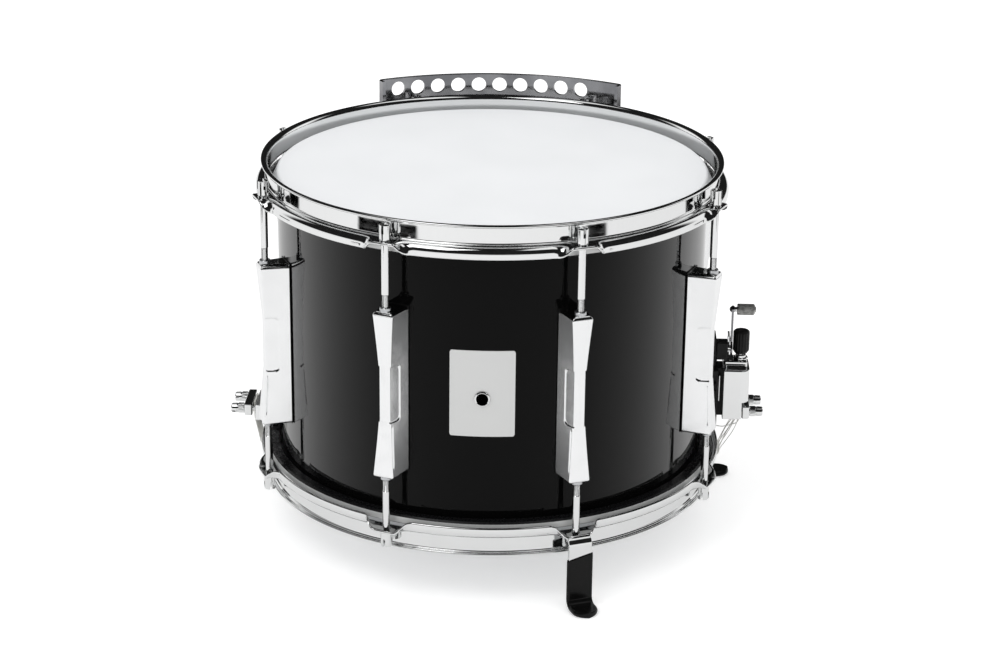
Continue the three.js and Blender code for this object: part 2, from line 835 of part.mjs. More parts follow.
// The lever: plate, hub pin, crank pin and grip pin, riveted into one piece.
function makeLever() {
  const gripZ = hubZ + lever.arm;
  const half = lever.armWidth / 2;
  const tip = lever.ball / 2 + fit;
  const [ly, lz] = [
    lever.crank * Math.cos(lever.crankAngle * DEG),
    hubZ + lever.crank * Math.sin(lever.crankAngle * DEG),
  ];
  const between = (near, far, diameter, y, z, sides = sidesTurned) =>
    radialBore(diameter, near, far, 0, sides).translate(0, y, z);
  const arm = outward(
    outline([
      [-half, hubZ],
      [half, hubZ],
      [tip, gripZ],
      ...arc(0, gripZ, tip, 0, 180, 4).slice(1, -1),
      [-tip, gripZ],
    ]),
    leverNear,
    leverFar,
  );
  const hubPlate = between(leverNear, leverFar, lever.hubDisc, 0, hubZ, 12);
  const lobeAngle = lever.crankAngle;
  const lobeHalf = lever.crankLobe / 2;
  const side = (turn, reach) => [
    reach * Math.cos(lobeAngle * DEG) - turn * lobeHalf * Math.sin(lobeAngle * DEG),
    hubZ + reach * Math.sin(lobeAngle * DEG) + turn * lobeHalf * Math.cos(lobeAngle * DEG),
  ];
  const lobe = outward(
    outline([side(-1, 0), side(-1, lever.crank), side(1, lever.crank), side(1, 0)]),
    leverNear,
    leverFar,
  );
  const lobeEnd = between(leverNear, leverFar, lever.crankLobe, ly, lz);
  const hubPin = between(pivotNear - 2 * overrun, leverFar - fit, lever.hubPin, 0, hubZ);
  const crankPin = between(yokeNear, leverFar - fit, lever.crankPin, ly, lz);
  const gripPin = between(leverFar - fit, leverFar + knob.out + lever.gripLength, lever.gripPin, 0, gripZ);
  const ball = new THREE.SphereGeometry(lever.ball / 2, 8, 6).translate((leverNear + leverFar) / 2, 0, gripZ);
  return join(arm, hubPlate, lobe, lobeEnd, hubPin, crankPin, gripPin, mergedBall(ball));
}

// A sphere's poles come as loose points, so they are merged before it is joined.
function mergedBall(ball) {
  ball.deleteAttribute("normal");
  ball.deleteAttribute("uv");
  return mergeVertices(ball, 1e-4);
}

// The knurled grip, a cap over the lever's grip pin.
function makeGrip() {
  const near = leverFar + lever.ball / 2;
  const far = near + lever.gripLength;
  const pinEnd = leverFar + knob.out + lever.gripLength;
  const bore = (lever.gripPin + 2 * fit) / 2;
  return turned(
    [
      [0, pinEnd + fit],
      [bore, pinEnd + fit],
      [bore, near],
      [lever.grip / 2, near],
      [lever.grip / 2, far],
      [lever.grip / 2 - lever.grip / 10, far + fit],
      [0, far + fit],
    ],
    12,
  )
    .rotateY(Math.PI / 2)
    .translate(0, 0, hubZ + lever.arm);
}

// The carriage: a housing open below, a tongue in the base's slot and a yoke arm that the
// crank pin lifts.
function makeCarriage() {
  const half = carriage.width / 2;
  const round = carriage.corner;
  const wall = carriage.wall;
  const planAt = (inset) =>
    outline([
      [boxNear + inset, -half + inset],
      ...arc(boxFar - round, -half + round, round - inset, -90, 0, 3),
      ...arc(boxFar - round, half - round, round - inset, 0, 90, 3),
      [boxNear + inset, half - inset],
    ]);
  const body = raised(planAt(0), boxFloor, boxTop);
  const cavity = raised(planAt(wall), boxFloor - overrun, boxTop - carriage.roof);
  const notchHalf = half + overrun;
  const notchTop = boxFloor + carriage.notch;
  const notch = block(plateNear - fit, boxFar + overrun, -notchHalf, notchHalf, boxFloor - overrun, notchTop);
  const seat = raised(
    outline([
      [boxNear + fit, -half / 2],
      [boxFar - wall, -half / 2],
      [boxFar - wall, half / 2],
      [boxNear + fit, half / 2],
    ]),
    boxTop - overrun,
    seatTop,
  );
  const tongueFar = railFace - strainer.lipDepth - fit;
  const tongue = raised(
    outline([
      [baseFace + fit, -tongueHalf],
      [tongueFar, -tongueHalf],
      [tongueFar, -neckHalf],
      [boxNear + overrun, -neckHalf],
      [boxNear + overrun, neckHalf],
      [tongueFar, neckHalf],
      [tongueFar, tongueHalf],
      [baseFace + fit, tongueHalf],
    ]),
    boxFloor,
    boxTop - overrun,
  );
  const crankY = lever.crank * Math.cos(lever.crankAngle * DEG);
  const crankZ = hubZ + lever.crank * Math.sin(lever.crankAngle * DEG);
  const armNear = lever.hubPin / 2 + yoke.inset;
  const armFar = armNear + yoke.width;
  const armTop = crankZ + yoke.rise;
  const armRound = yoke.width / 4;
  const arm = outward(
    outline([
      [armNear, boxTop - yoke.foot],
      [armFar, boxTop - yoke.foot],
      ...arc(armFar - armRound, armTop - armRound, armRound, 0, 90, 2),
      ...arc(armNear + armRound, armTop - armRound, armRound, 90, 180, 2),
    ]),
    yokeNear,
    yokeFar,
  );
  const slotHalf = lever.crankPin / 2 / Math.cos(Math.PI / sidesTurned) + yoke.slotPlay;
  const yokeSlot = block(
    yokeNear - fit / 2,
    yokeFar + fit / 2,
    crankY - slotHalf,
    lever.crank + slotHalf,
    crankZ - slotHalf,
    crankZ + slotHalf,
  );
  const spindleBore = bar(runningHole(knob.spindle), carriage.height);
  spindleBore.translate(knobRadius, 0, seatTop - carriage.height / 2);
  return cut(join(cut(body, cavity), seat, tongue, cut(arm, yokeSlot)), notch, spindleBore);
}

// The fine-tension knob on its spindle, standing on the carriage's seat.
const seatTop = boxTop + carriage.seat;
const collarTopZ = seatTop + fit + knob.collar;
const clampNear = boxNear + carriage.wall + clamp.play;
const plateFar = boxFar + clamp.proud;
const plateNear = plateFar - clamp.plate;
const slotNear = plateNear - clamp.slot;
const plateTop = boxFloor + carriage.notch - clamp.plateDrop;
const thumbZ = plateTop - clamp.plateHeight / 2;
const clampFloor = boxFloor + clamp.floor;
const clampTop = plateTop + clamp.blockRoof + clamp.plateDrop;
const spindleEnd = clampTop - clamp.blockRoof + clamp.spindleEnd;

function makeSpindle() {
  return turned(
    [
      [0, spindleEnd],
      [knob.spindle / 2, spindleEnd],
      [knob.spindle / 2, seatTop + fit],
      [knob.neck / 2 + knob.rib, seatTop + fit],
      [knob.neck / 2 + knob.rib, collarTopZ],
      [knob.spindle / 2, collarTopZ],
      [knob.spindle / 2, collarTopZ + knob.neckHeight + knob.height / 2],
      [0, collarTopZ + knob.neckHeight + knob.height / 2],
    ],
    sidesTurned,
  ).translate(knobRadius, 0, 0);
}

function makeKnob() {
  const low = collarTopZ + fit;
  const shoulder = low + knob.neckHeight;
  const top = shoulder + knob.height;
  const bore = runningHole(knob.spindle) / 2;
  const boreTop = collarTopZ + knob.neckHeight + knob.height / 2 + fit;
  const bevel = knob.rib * 2;
  return turned(
    [
      [0, boreTop],
      [bore, boreTop],
      [bore, low],
      [knob.neck / 2, low],
      [knob.neck / 2, shoulder - bevel],
      [knob.diameter / 2, shoulder],
      [knob.diameter / 2, top - bevel],
      [knob.diameter / 2 - bevel, top],
      [0, top],
    ],
    12,
  ).translate(knobRadius, 0, 0);
}

// Bores for a pair of thumbscrews through a clamp's parts.
function thumbBores(near, far, height) {
  const clear = (thumb.shank + 2 * fit) / Math.cos(Math.PI / sidesScrew);
  return [-1, 1].map((side) =>
    radialBore(clear, near - overrun, far + overrun, height).translate(0, (side * thumb.spacing) / 2, 0),
  );
}

// The clamp block hangs on the spindle inside the carriage and reaches down behind the plate.
function makeClampBlock() {
  const far = boxFar - carriage.wall - clamp.play;
  const half = carriage.width / 2 - carriage.wall - clamp.play;
  const side = outline([
    [clampNear, clampFloor],
    [slotNear, clampFloor],
    [slotNear, clampTop - clamp.blockRoof],
    [far, clampTop - clamp.blockRoof],
    [far, clampTop],
    [clampNear, clampTop],
  ]);
  const chamfer = carriage.corner * 0.6;
  const plan = outline([
    [clampNear - overrun, -half],
    [far - chamfer, -half],
    [far, -half + chamfer],
    [far, half - chamfer],
    [far - chamfer, half],
    [clampNear - overrun, half],
  ]);
  const body = common(sideways(side, 2 * half), raised(plan, clampFloor - overrun, clampTop + overrun));
  const bore = bar(runningHole(knob.spindle), 2 * clamp.blockRoof);
  bore.translate(knobRadius, 0, clampTop - 1.5 * clamp.blockRoof);
  return cut(body, bore, ...thumbBores(clampNear, slotNear, thumbZ));
}

// A clamp plate, bevelled along its outer face's ends, with its thumbscrews' bores.
function makeClampPlate(near, thickness, width, low, high) {
  const far = near + thickness;
  const half = width / 2;
  const plan = outline([
    [near, -half],
    [far - clamp.bevel, -half],
    [far, -half + clamp.bevel],
    [far, half - clamp.bevel],
    [far - clamp.bevel, half],
    [near, half],
  ]);
  return cut(raised(plan, low, high), ...thumbBores(near, far, (low + high) / 2));
}

// A thumbscrew: slotted head outside the plate, shank through plate and slot.
function makeThumb(face, end, place, height) {
  const near = face + fit;
  const far = near + thumb.length;
  const screw = turned(
    [
      [0, end],
      [thumb.shank / 2, end],
      [thumb.shank / 2, near],
      [thumb.diameter / 2, near],
      [thumb.diameter / 2 - thumb.taper, far],
      [0, far],
    ],
    sidesTurned,
  ).rotateY(Math.PI / 2);
  const half = thumb.diameter;
  const slot = block(far - thumb.slotDepth, far + overrun, -thumb.slot / 2, thumb.slot / 2, -half, half);
  return cut(screw, slot).translate(0, place, height);
}

// The butt: a block on the shell whose outer face takes the clamp plate.
const buttFace = shell.radius + fit + butt.reach;
const buttPlateNear = buttFace + clamp.slot;
const buttTop = butt.top - edgeZ;
const buttFloor = buttTop - butt.height;
const buttThumbZ = buttTop - butt.plateHeight / 2;

function makeButt() {
  const half = butt.width / 2;
  const near = shell.radius + fit;
  const plan = outline([
    [near, -half],
    [near + butt.web / 2, -half],
    [buttFace - butt.web, -half + butt.web / 4],
    [buttFace, -half],
    [buttFace, half],
    [buttFace - butt.web, half - butt.web / 4],
    [near + butt.web / 2, half],
    [near, half],
  ]);
  const side = outline([
    [near - overrun, buttFloor],
    [buttFace - butt.corner, buttFloor],
    [buttFace, buttFloor + butt.corner],
    [buttFace, buttTop],
    [near - overrun, buttTop],
  ]);
  const body = common(raised(plan, buttFloor - overrun, buttTop + overrun), sideways(side, 2 * butt.width));
  return cut(body, ...thumbBores(buttFace - thumb.grip + overrun, buttFace, buttThumbZ));
}

// A strand's route in radius and height, swept with a small polygon. Corners are mitred.
function sweep(route, y) {
  const radius = strand.diameter / 2;
  const rings = route.map(([x, z], i) => {
    const before = route[Math.max(i - 1, 0)];
    const after = route[Math.min(i + 1, route.length - 1)];
    const one = new THREE.Vector2(x - before[0], z - before[1]).normalize();
    const two = new THREE.Vector2(after[0] - x, after[1] - z).normalize();
    const along = one.clone().add(two).normalize();
    const bendShare = one.lengthSq() * two.lengthSq() > 0 ? Math.sqrt((1 + one.dot(two)) / 2) : 1;
    const ring = [];
    for (let k = 0; k < 4; k += 1) {
      const turn = (k + 0.5) * (Math.PI / 2);
      const up = (radius * Math.sin(turn)) / bendShare;
      ring.push([x - along.y * up, y + radius * Math.cos(turn), z + along.x * up]);
    }
    return ring;
  });
  return skin(rings, false);
}

// The snare strands. They leave the butt, pass the ledge and the gate, cross under the snare
// head and come up to the corner of the ledge on the strainer's side.
const cornerX = flangeRadius + strand.diameter;
const cornerZ = -ledgeZ + hoop.sheet / 2;
const bedZ = -headZ - fit - strand.diameter / 2;
const gateX = (wallOut + lipRadius) / 2;

function strandRoutes() {
  const buttX = -(buttFace + clamp.slot / 2);
  const bed = [
    [buttX, buttTop - strand.tail],
    [buttX, buttFloor],
    [-cornerX, cornerZ],
    [-cornerX + fit, -ledgeZ - hoop.sheet / 2],
    [-gateX, bedZ],
    [gateX, bedZ],
    [cornerX - fit, -ledgeZ - hoop.sheet / 2],
    [cornerX, cornerZ],
  ];
  const upX = slotNear + clamp.slot / 2;
  const run = [
    [cornerX, cornerZ + fit],
    [upX, clampFloor],
    [upX, plateTop - 1.5 * strand.tail],
  ];
  return [bed, run];
}

// Strands side by side, with the bar that the clamp holds them by moulded on one end.
function makeStrands(route, [endX, endZ]) {
  const strands = [];
  for (let i = 0; i < strand.count; i += 1) {
    strands.push(sweep(route, (i - (strand.count - 1) / 2) * strand.pitch));
  }
  const half = ((strand.count - 1) * strand.pitch) / 2 + strand.barEnd;
  const thick = strand.diameter / 2 + strand.barCover;
  const low = endZ - strand.tail;
  return join(...strands, block(endX - thick, endX + thick, -half, half, low, endZ));
}

// The drum's shell and heads.
place("shell", makeShell(), "lacquer");
place("batter_head", makeFilm(), "film");
place("batter_flesh_hoop", makeFleshHoop(), "anodised");
place("snare_head", flipped(makeFilm()), "film");
place("snare_flesh_hoop", flipped(makeFleshHoop()), "anodised");
place("batter_hoop", makeHoop(), "chrome");
place("snare_hoop", makeBottomHoop(), "chrome");

// Lugs and tension rods, numbered from the badge towards the strainer. The two rods beside
// the rail stand on its tabs, and the rods of the feet bear on the foot strips.
const railLugs = [3, 4];
const feetAt = [
  { name: "front", lug: 0, swivel: 0 },
  { name: "right", lug: 2, swivel: 0 },
  { name: "left", lug: 5, swivel: -1 },
];
const plainSeat = ledgeZ + fit;
const railSeat = tabTop + fit;
const footSeat = ledgeZ + fit + foot.strip + fit;
for (let i = 0; i < lugCount; i += 1) {
  const at = spoke(lugAngleOf(i));
  place(`lug_${i + 1}`, makeLug(), "chrome", at);
  const upper = makeRod(railLugs.includes(i) ? railSeat : plainSeat, lugTop);
  place(`top_rod_${i + 1}`, upper, "chrome", at).position.x = rodRadius;
  const lower = makeRod(feetAt.some((one) => one.lug === i) ? footSeat : plainSeat, -lugBottom);
  place(`bottom_rod_${i + 1}`, flipped(lower), "chrome", at).position.x = rodRadius;
}
place("badge", makeBadge(), "plate", spoke(0));
place("vent_grommet", makeVent(), "chrome", spoke(0));
place("carrying_rail", makeRail(), "chrome", spoke(180));

for (const one of feetAt) {
  const at = spoke(lugAngleOf(one.lug));
  const swung = new THREE.Group();
  swung.position.x = rodRadius;
  swung.rotation.z = one.swivel * foot.swivel * DEG;
  at.add(swung);
  const strip = place(`foot_${one.name}`, makeFootStrip(), "chrome", swung);
  const sleeve = place(`foot_sleeve_${one.name}`, makeSleeve(), "rubber", swung);
  strip.position.x = -rodRadius;
  sleeve.position.x = -rodRadius;
}

// The strainer and the butt.
const strainerSide = spoke(90);
place("strainer_base", makeStrainerBase(), "chrome", strainerSide);
place("pivot_block", makePivotBlock(), "plastic", strainerSide);
place("throw_off_lever", makeLever(), "chrome", strainerSide);
place("lever_grip", makeGrip(), "chrome", strainerSide);
place("snare_carriage", makeCarriage(), "chrome", strainerSide);
place("tension_spindle", makeSpindle(), "steel", strainerSide);
place("tension_knob", makeKnob(), "plastic", strainerSide);
place("clamp_block", makeClampBlock(), "steel", strainerSide);
const clampPlate = makeClampPlate(
  plateNear,
  clamp.plate,
  carriage.width,
  plateTop - clamp.plateHeight,
  plateTop,
);
place("clamp_plate", clampPlate, "chrome", strainerSide);
const buttSide = spoke(-90);
place("butt_block", makeButt(), "chrome", buttSide);
const buttPlate = makeClampPlate(
  buttPlateNear,
  butt.plate,
  butt.width,
  buttTop - butt.plateHeight,
  buttTop,
);
place("butt_plate", buttPlate, "chrome", buttSide);
for (const [name, side] of [
  ["front", -1],
  ["rear", 1],
]) {
  const inBlock = slotNear - thumb.grip;
  const clampScrew = makeThumb(plateFar, inBlock, (side * thumb.spacing) / 2, thumbZ);
  place(`clamp_screw_${name}`, clampScrew, "chrome", strainerSide);
  const inButt = buttFace - thumb.grip + 2 * fit;
  const buttScrew = makeThumb(buttPlateNear + butt.plate, inButt, (-side * thumb.spacing) / 2, buttThumbZ);
  place(`butt_screw_${name}`, buttScrew, "chrome", buttSide);
}
const [bedRoute, runRoute] = strandRoutes();
place("snare_strands", makeStrands(bedRoute, [bedRoute[0][0], buttTop - fit]), "cable");
place("strainer_strands", makeStrands(runRoute, [runRoute[2][0], plateTop - strand.tail]), "cable");

export default drum;
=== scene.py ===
"""A marching snare drum in a white studio."""
import math
from functools import partial

import bmesh
import bpy
from mathutils import Matrix, Vector


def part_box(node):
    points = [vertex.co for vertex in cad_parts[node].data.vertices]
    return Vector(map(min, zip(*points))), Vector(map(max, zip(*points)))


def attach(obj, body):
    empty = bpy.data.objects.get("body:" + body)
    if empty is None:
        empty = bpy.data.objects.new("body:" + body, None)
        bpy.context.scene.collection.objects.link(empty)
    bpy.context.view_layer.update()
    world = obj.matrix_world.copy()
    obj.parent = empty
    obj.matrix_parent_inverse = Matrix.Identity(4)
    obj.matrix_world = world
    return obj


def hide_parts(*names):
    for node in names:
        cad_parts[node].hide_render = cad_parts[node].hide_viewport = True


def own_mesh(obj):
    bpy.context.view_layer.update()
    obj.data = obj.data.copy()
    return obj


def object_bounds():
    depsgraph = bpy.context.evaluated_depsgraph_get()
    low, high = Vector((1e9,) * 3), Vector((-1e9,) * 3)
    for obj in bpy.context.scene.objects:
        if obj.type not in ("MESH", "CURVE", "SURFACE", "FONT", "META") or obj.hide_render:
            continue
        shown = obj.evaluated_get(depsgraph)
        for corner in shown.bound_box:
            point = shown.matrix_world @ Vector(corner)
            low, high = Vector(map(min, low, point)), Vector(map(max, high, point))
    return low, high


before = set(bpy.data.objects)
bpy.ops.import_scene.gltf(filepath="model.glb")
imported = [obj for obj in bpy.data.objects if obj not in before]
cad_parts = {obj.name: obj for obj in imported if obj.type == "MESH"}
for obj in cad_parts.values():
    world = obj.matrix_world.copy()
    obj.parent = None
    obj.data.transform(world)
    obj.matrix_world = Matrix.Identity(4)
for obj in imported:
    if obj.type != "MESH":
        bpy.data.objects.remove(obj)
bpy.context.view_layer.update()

# Sizes are in millimetres, with heights from the middle of the shell.
MM = 0.001
SHELL_LOW, SHELL_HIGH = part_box("shell")
MIDDLE = (SHELL_LOW[2] + SHELL_HIGH[2]) / 2
SHELL_R = SHELL_HIGH[0] / MM
EDGE_Z = (SHELL_HIGH[2] - MIDDLE) / MM
HEAD_Z = (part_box("batter_head")[1][2] - MIDDLE) / MM
LIP_Z = (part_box("batter_hoop")[1][2] - MIDDLE) / MM
LUG_LOW = (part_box("lug_1")[0][2] - MIDDLE) / MM
LUG_HIGH = (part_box("lug_1")[1][2] - MIDDLE) / MM
FIT = 0.3
WALL = 7
SHEET = 2.3
HOOP_GAP = 7
WALL_IN = SHELL_R + HOOP_GAP
WALL_HEIGHT = 18.5
LEDGE_Z = LIP_Z - WALL_HEIGHT
LIP_REACH = 6
LEDGE = 2.45
BEND = 4.6
FLANGE = 9.9
EAR_REACH = 1.9
EAR_FLAT = 17
EAR_RUN = 13
WALL_OUT = WALL_IN + SHEET
FLANGE_R = WALL_OUT + LEDGE + BEND + SHEET / 2
ROD_R = FLANGE_R + 0.5
NUT_COLLAR = 2.8
LUG_TOP = LUG_HIGH - NUT_COLLAR
LUG_BOTTOM = LUG_LOW + NUT_COLLAR
LUGS = 8
STEP = 360 / LUGS
TURN_STEPS = 288
VENT_Z = -7.7
STRIP = 2.5
HOLE_R = 3.7
RAIL_LUGS = (3, 4)
FOOT_LUGS = (0, 2, 5)


# Geometry.

def ease(value):
    value = min(max(value, 0), 1)
    return (3 - 2 * value) * value * value


def skin(rings, looped=False, closed=True):
    """Joins rings of points into a mesh. looped joins the last ring to the first."""
    bm = bmesh.new()
    grid = [[bm.verts.new(point) for point in ring] for ring in rings]
    count = len(rings[0])
    for i in range(len(grid) if looped else len(grid) - 1):
        here, there = grid[i], grid[(i + 1) % len(grid)]
        for k in range(count if closed else count - 1):
            following = (k + 1) % count
            bm.faces.new((here[k], here[following], there[following], there[k]))
    if not looped:
        bm.faces.new(reversed(grid[0]))
        bm.faces.new(grid[-1])
    return tidy(bm)


def tidy(bm):
    bmesh.ops.remove_doubles(bm, verts=bm.verts, dist=1e-4)
    bmesh.ops.dissolve_degenerate(bm, edges=bm.edges, dist=1e-5)
    bmesh.ops.recalc_face_normals(bm, faces=bm.faces)
    return bm


def filled(bm):
    bmesh.ops.holes_fill(bm, edges=[e for e in bm.edges if e.is_boundary])
    return tidy(bm)


def lathe(profile, steps=48, ring=False):
    """Turns [radius, z] points about Z. A ring's profile closes on itself."""
    return fluted([(r, z, 0) for r, z in profile], steps, lambda turn: 0, ring)


def fluted(profile, steps, depth, ring=False):
    """Turns [radius, z, share] points about Z, sunk by their share of the depth at each angle."""
    rings = []
    for i in range(steps):
        turn = 2 * math.pi * i / steps
        line = [(r - depth(turn) * share, z) for r, z, share in profile]
        rings.append([(r * math.cos(turn), r * math.sin(turn), z) for r, z in line])
    return skin(rings, looped=True, closed=ring)


def prism(outline, low, high, axis="Z"):
    """An outline raised along an axis: (x, y) along Z, (y, z) along X, (x, z) along Y."""
    places = {
        "Z": lambda a, b, c: (a, b, c),
        "X": lambda a, b, c: (c, a, b),
        "Y": lambda a, b, c: (a, c, b),
    }
    at = places[axis]
    bm = bmesh.new()
    floor = [bm.verts.new(at(a, b, low)) for a, b in outline]
    roof = [bm.verts.new(at(a, b, high)) for a, b in outline]
    bm.faces.new(floor)
    bm.faces.new(roof)
    for k in range(len(outline)):
        following = (k + 1) % len(outline)
        bm.faces.new((floor[k], floor[following], roof[following], roof[k]))
    return tidy(bm)


def box(x0, x1, y0, y1, z0, z1):
    return prism([(x0, y0), (x1, y0), (x1, y1), (x0, y1)], z0, z1)


def arc(a, b, radius, start, end, steps):
    points = []
    for i in range(steps + 1):
        turn = math.radians(start + (end - start) * i / steps)
        points.append((a + radius * math.cos(turn), b + radius * math.sin(turn)))
    return points


def circle(a, b, radius, steps=32):
    return arc(a, b, radius, 0, 360, steps)[:-1]


def moved(bm, matrix):
    bmesh.ops.transform(bm, matrix=matrix, verts=bm.verts)
    return bm


def shift(x=0, y=0, z=0):
    return Matrix.Translation((x, y, z))


def turn_about(axis, degrees):
    return Matrix.Rotation(math.radians(degrees), 4, axis)


def spoke(angle):
    """Turns a piece made pointing +X to an angle from the badge towards the strainer."""
    return turn_about("Z", angle - 90)


def soften(bm, width, segments=2, angle=30):
    """Rounds the sharp edges."""
    bm.normal_update()
    limit = math.radians(angle)
    edges = [e for e in bm.edges if len(e.link_faces) == 2 and e.calc_face_angle(0) > limit]
    bmesh.ops.bevel(
        bm,
        geom=edges,
        offset=width,
        offset_type="OFFSET",
        segments=segments,
        profile=0.5,
        affect="EDGES",
        clamp_overlap=True,
    )
    return bm


def merge(*parts):
    """Puts solids that don't cut each other into one mesh."""
    whole = bmesh.new()
    for part in parts:
        held = bpy.data.meshes.new("held")
        part.to_mesh(held)
        whole.from_mesh(held)
        bpy.data.meshes.remove(held)
        part.free()
    return whole


def loose(bm):
    mesh = bpy.data.meshes.new("loose")
    bm.to_mesh(mesh)
    bm.free()
    obj = bpy.data.objects.new("loose", mesh)
    bpy.context.scene.collection.objects.link(obj)
    return obj


def carve(bm, *tools, operation="DIFFERENCE"):
    """Cuts tools out of a solid, or joins them to it."""
    base = loose(bm)
    others = [loose(tool) for tool in tools]
    for other in others:
        modifier = base.modifiers.new("carve", "BOOLEAN")
        modifier.operation = operation
        modifier.solver = "EXACT"
        modifier.object = other
    graph = bpy.context.evaluated_depsgraph_get()
    result = bmesh.new()
    result.from_mesh(base.evaluated_get(graph).to_mesh())
    for obj in [base, *others]:
        mesh = obj.data
        bpy.data.objects.remove(obj)
        bpy.data.meshes.remove(mesh)
    bmesh.ops.remove_doubles(result, verts=result.verts, dist=1e-4)
    return result


def unite(bm, *parts):
    return carve(bm, *parts, operation="UNION")


def as_mesh(name, bm, sharp=32):
    """A smooth-shaded mesh in the frame's metres."""
    mesh = bpy.data.meshes.new(name)
    moved(bm, Matrix.Translation((0, 0, MIDDLE)) @ Matrix.Scale(MM, 4))
    bm.to_mesh(mesh)
    bm.free()
    mesh.shade_smooth()
    mesh.set_sharp_from_angle(angle=math.radians(sharp))
    return flat_lit(mesh)


def flat_lit(mesh):
    """Weights the normals by face size, so that flat faces stay flat beside their roundings."""
    held = bpy.data.objects.new("held", mesh)
    bpy.context.scene.collection.objects.link(held)
    weights = held.modifiers.new("weights", "WEIGHTED_NORMAL")
    weights.keep_sharp = True
    weights.weight = 75
    graph = bpy.context.evaluated_depsgraph_get()
    lit = bpy.data.meshes.new_from_object(held.evaluated_get(graph))
    lit.name = mesh.name + "_lit"
    bpy.data.objects.remove(held)
    bpy.data.meshes.remove(mesh)
    return lit


def second_finish(bm, picks):
    """Gives a piece's second finish to the faces that picks chooses, by their radius and normal."""
    bm.normal_update()
    for face in bm.faces:
        centre = face.calc_center_median()
        face.material_index = int(picks(math.hypot(centre.x, centre.y), face.normal))
    return bm


def add(name, mesh, finishes, replaces=None, body="drum", angle=90, place=None):
    """Adds a piece made pointing +X, turned to its angle or put at its place, riding on a body."""
    if isinstance(finishes, str):
        finishes = (finishes,)
    if isinstance(mesh, bmesh.types.BMesh):
        mesh = as_mesh(name, mesh)
    if not mesh.materials:
        for key in finishes:
            mesh.materials.append(FINISH[key])
    obj = bpy.data.objects.new(name, mesh)
    bpy.context.scene.collection.objects.link(obj)
    obj.matrix_world = place or spoke(angle)
    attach(obj, body)
    if replaces:
        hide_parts(replaces)
    return obj


# Materials.

NOISE_LOW, NOISE_HIGH = 0.35, 0.65


def feed(tree, socket, value):
    """Gives a socket a number, or another node's output."""
    if isinstance(value, (int, float)):
        socket.default_value = value
    else:
        tree.links.new(value, socket)


def math_node(tree, operation, *values):
    node = tree.nodes.new("ShaderNodeMath")
    node.operation = operation
    for socket, value in zip(node.inputs, values):
        feed(tree, socket, value)
    return node.outputs["Value"]


def map_range(tree, value, start, end, low=0.0, high=1.0, kind="SMOOTHSTEP"):
    """Goes from low to high while a value goes from start to end."""
    node = tree.nodes.new("ShaderNodeMapRange")
    node.interpolation_type = kind
    for socket, number in zip(("From Min", "From Max", "To Min", "To Max"), (start, end, low, high)):
        node.inputs[socket].default_value = number
    tree.links.new(value, node.inputs["Value"])
    return node.outputs["Result"]


def noise(tree, scale, detail, stretch=(1, 1, 1)):
    """A noise texture over the piece's own coordinates, in metres."""
    place = tree.nodes.new("ShaderNodeTexCoord")
    mapping = tree.nodes.new("ShaderNodeMapping")
    mapping.inputs["Scale"].default_value = stretch
    texture = tree.nodes.new("ShaderNodeTexNoise")
    texture.inputs["Scale"].default_value = scale
    texture.inputs["Detail"].default_value = detail
    tree.links.new(place.outputs["Object"], mapping.inputs["Vector"])
    tree.links.new(mapping.outputs["Vector"], texture.inputs["Vector"])
    return texture.outputs["Fac"]


def finish(name, color, metallic=0.0, roughness=0.3, ior=1.5, rough=None, tint=None, grain=None):
    """A material. rough, tint and grain start with a noise's scale and detail. rough and tint go
    on with the values at its low and high end and may end with a stretch, grain with a height."""
    material = bpy.data.materials.new(name)
    material.use_nodes = True
    tree = material.node_tree
    shader = tree.nodes["Principled BSDF"]
    shader.inputs["Base Color"].default_value = (*color, 1)
    shader.inputs["Metallic"].default_value = metallic
    shader.inputs["Roughness"].default_value = roughness
    shader.inputs["IOR"].default_value = ior
    if rough:
        scale, detail, low, high, *stretch = rough
        source = noise(tree, scale, detail, *stretch)
        value = map_range(tree, source, NOISE_LOW, NOISE_HIGH, low, high, "LINEAR")
        tree.links.new(value, shader.inputs["Roughness"])
    if tint:
        scale, detail, low, high, *stretch = tint
        ramp = tree.nodes.new("ShaderNodeValToRGB")
        for stop, place, shade in zip(ramp.color_ramp.elements, (NOISE_LOW, NOISE_HIGH), (low, high)):
            stop.position = place
            stop.color = (*shade, 1)
        tree.links.new(noise(tree, scale, detail, *stretch), ramp.inputs["Fac"])
        tree.links.new(ramp.outputs["Color"], shader.inputs["Base Color"])
    if grain:
        scale, detail, height = grain
        node = tree.nodes.new("ShaderNodeBump")
        node.inputs["Strength"].default_value = 1
        node.inputs["Distance"].default_value = height * MM
        tree.links.new(noise(tree, scale, detail), node.inputs["Height"])
        tree.links.new(node.outputs["Normal"], shader.inputs["Normal"])
    return material


def gloss_at_edges(tree, facing, grazing):
    """Deep lacquer: little gloss where it faces the eye, more where it turns away."""
    away = tree.nodes.new("ShaderNodeLayerWeight")
    away.inputs["Blend"].default_value = 0.5
    last = away.outputs["Facing"]
    for operation, amount in (("POWER", 2), ("MULTIPLY", grazing), ("ADD", facing), ("MINIMUM", 1)):
        last = math_node(tree, operation, last, amount)
    tree.links.new(last, tree.nodes["Principled BSDF"].inputs["Specular IOR Level"])


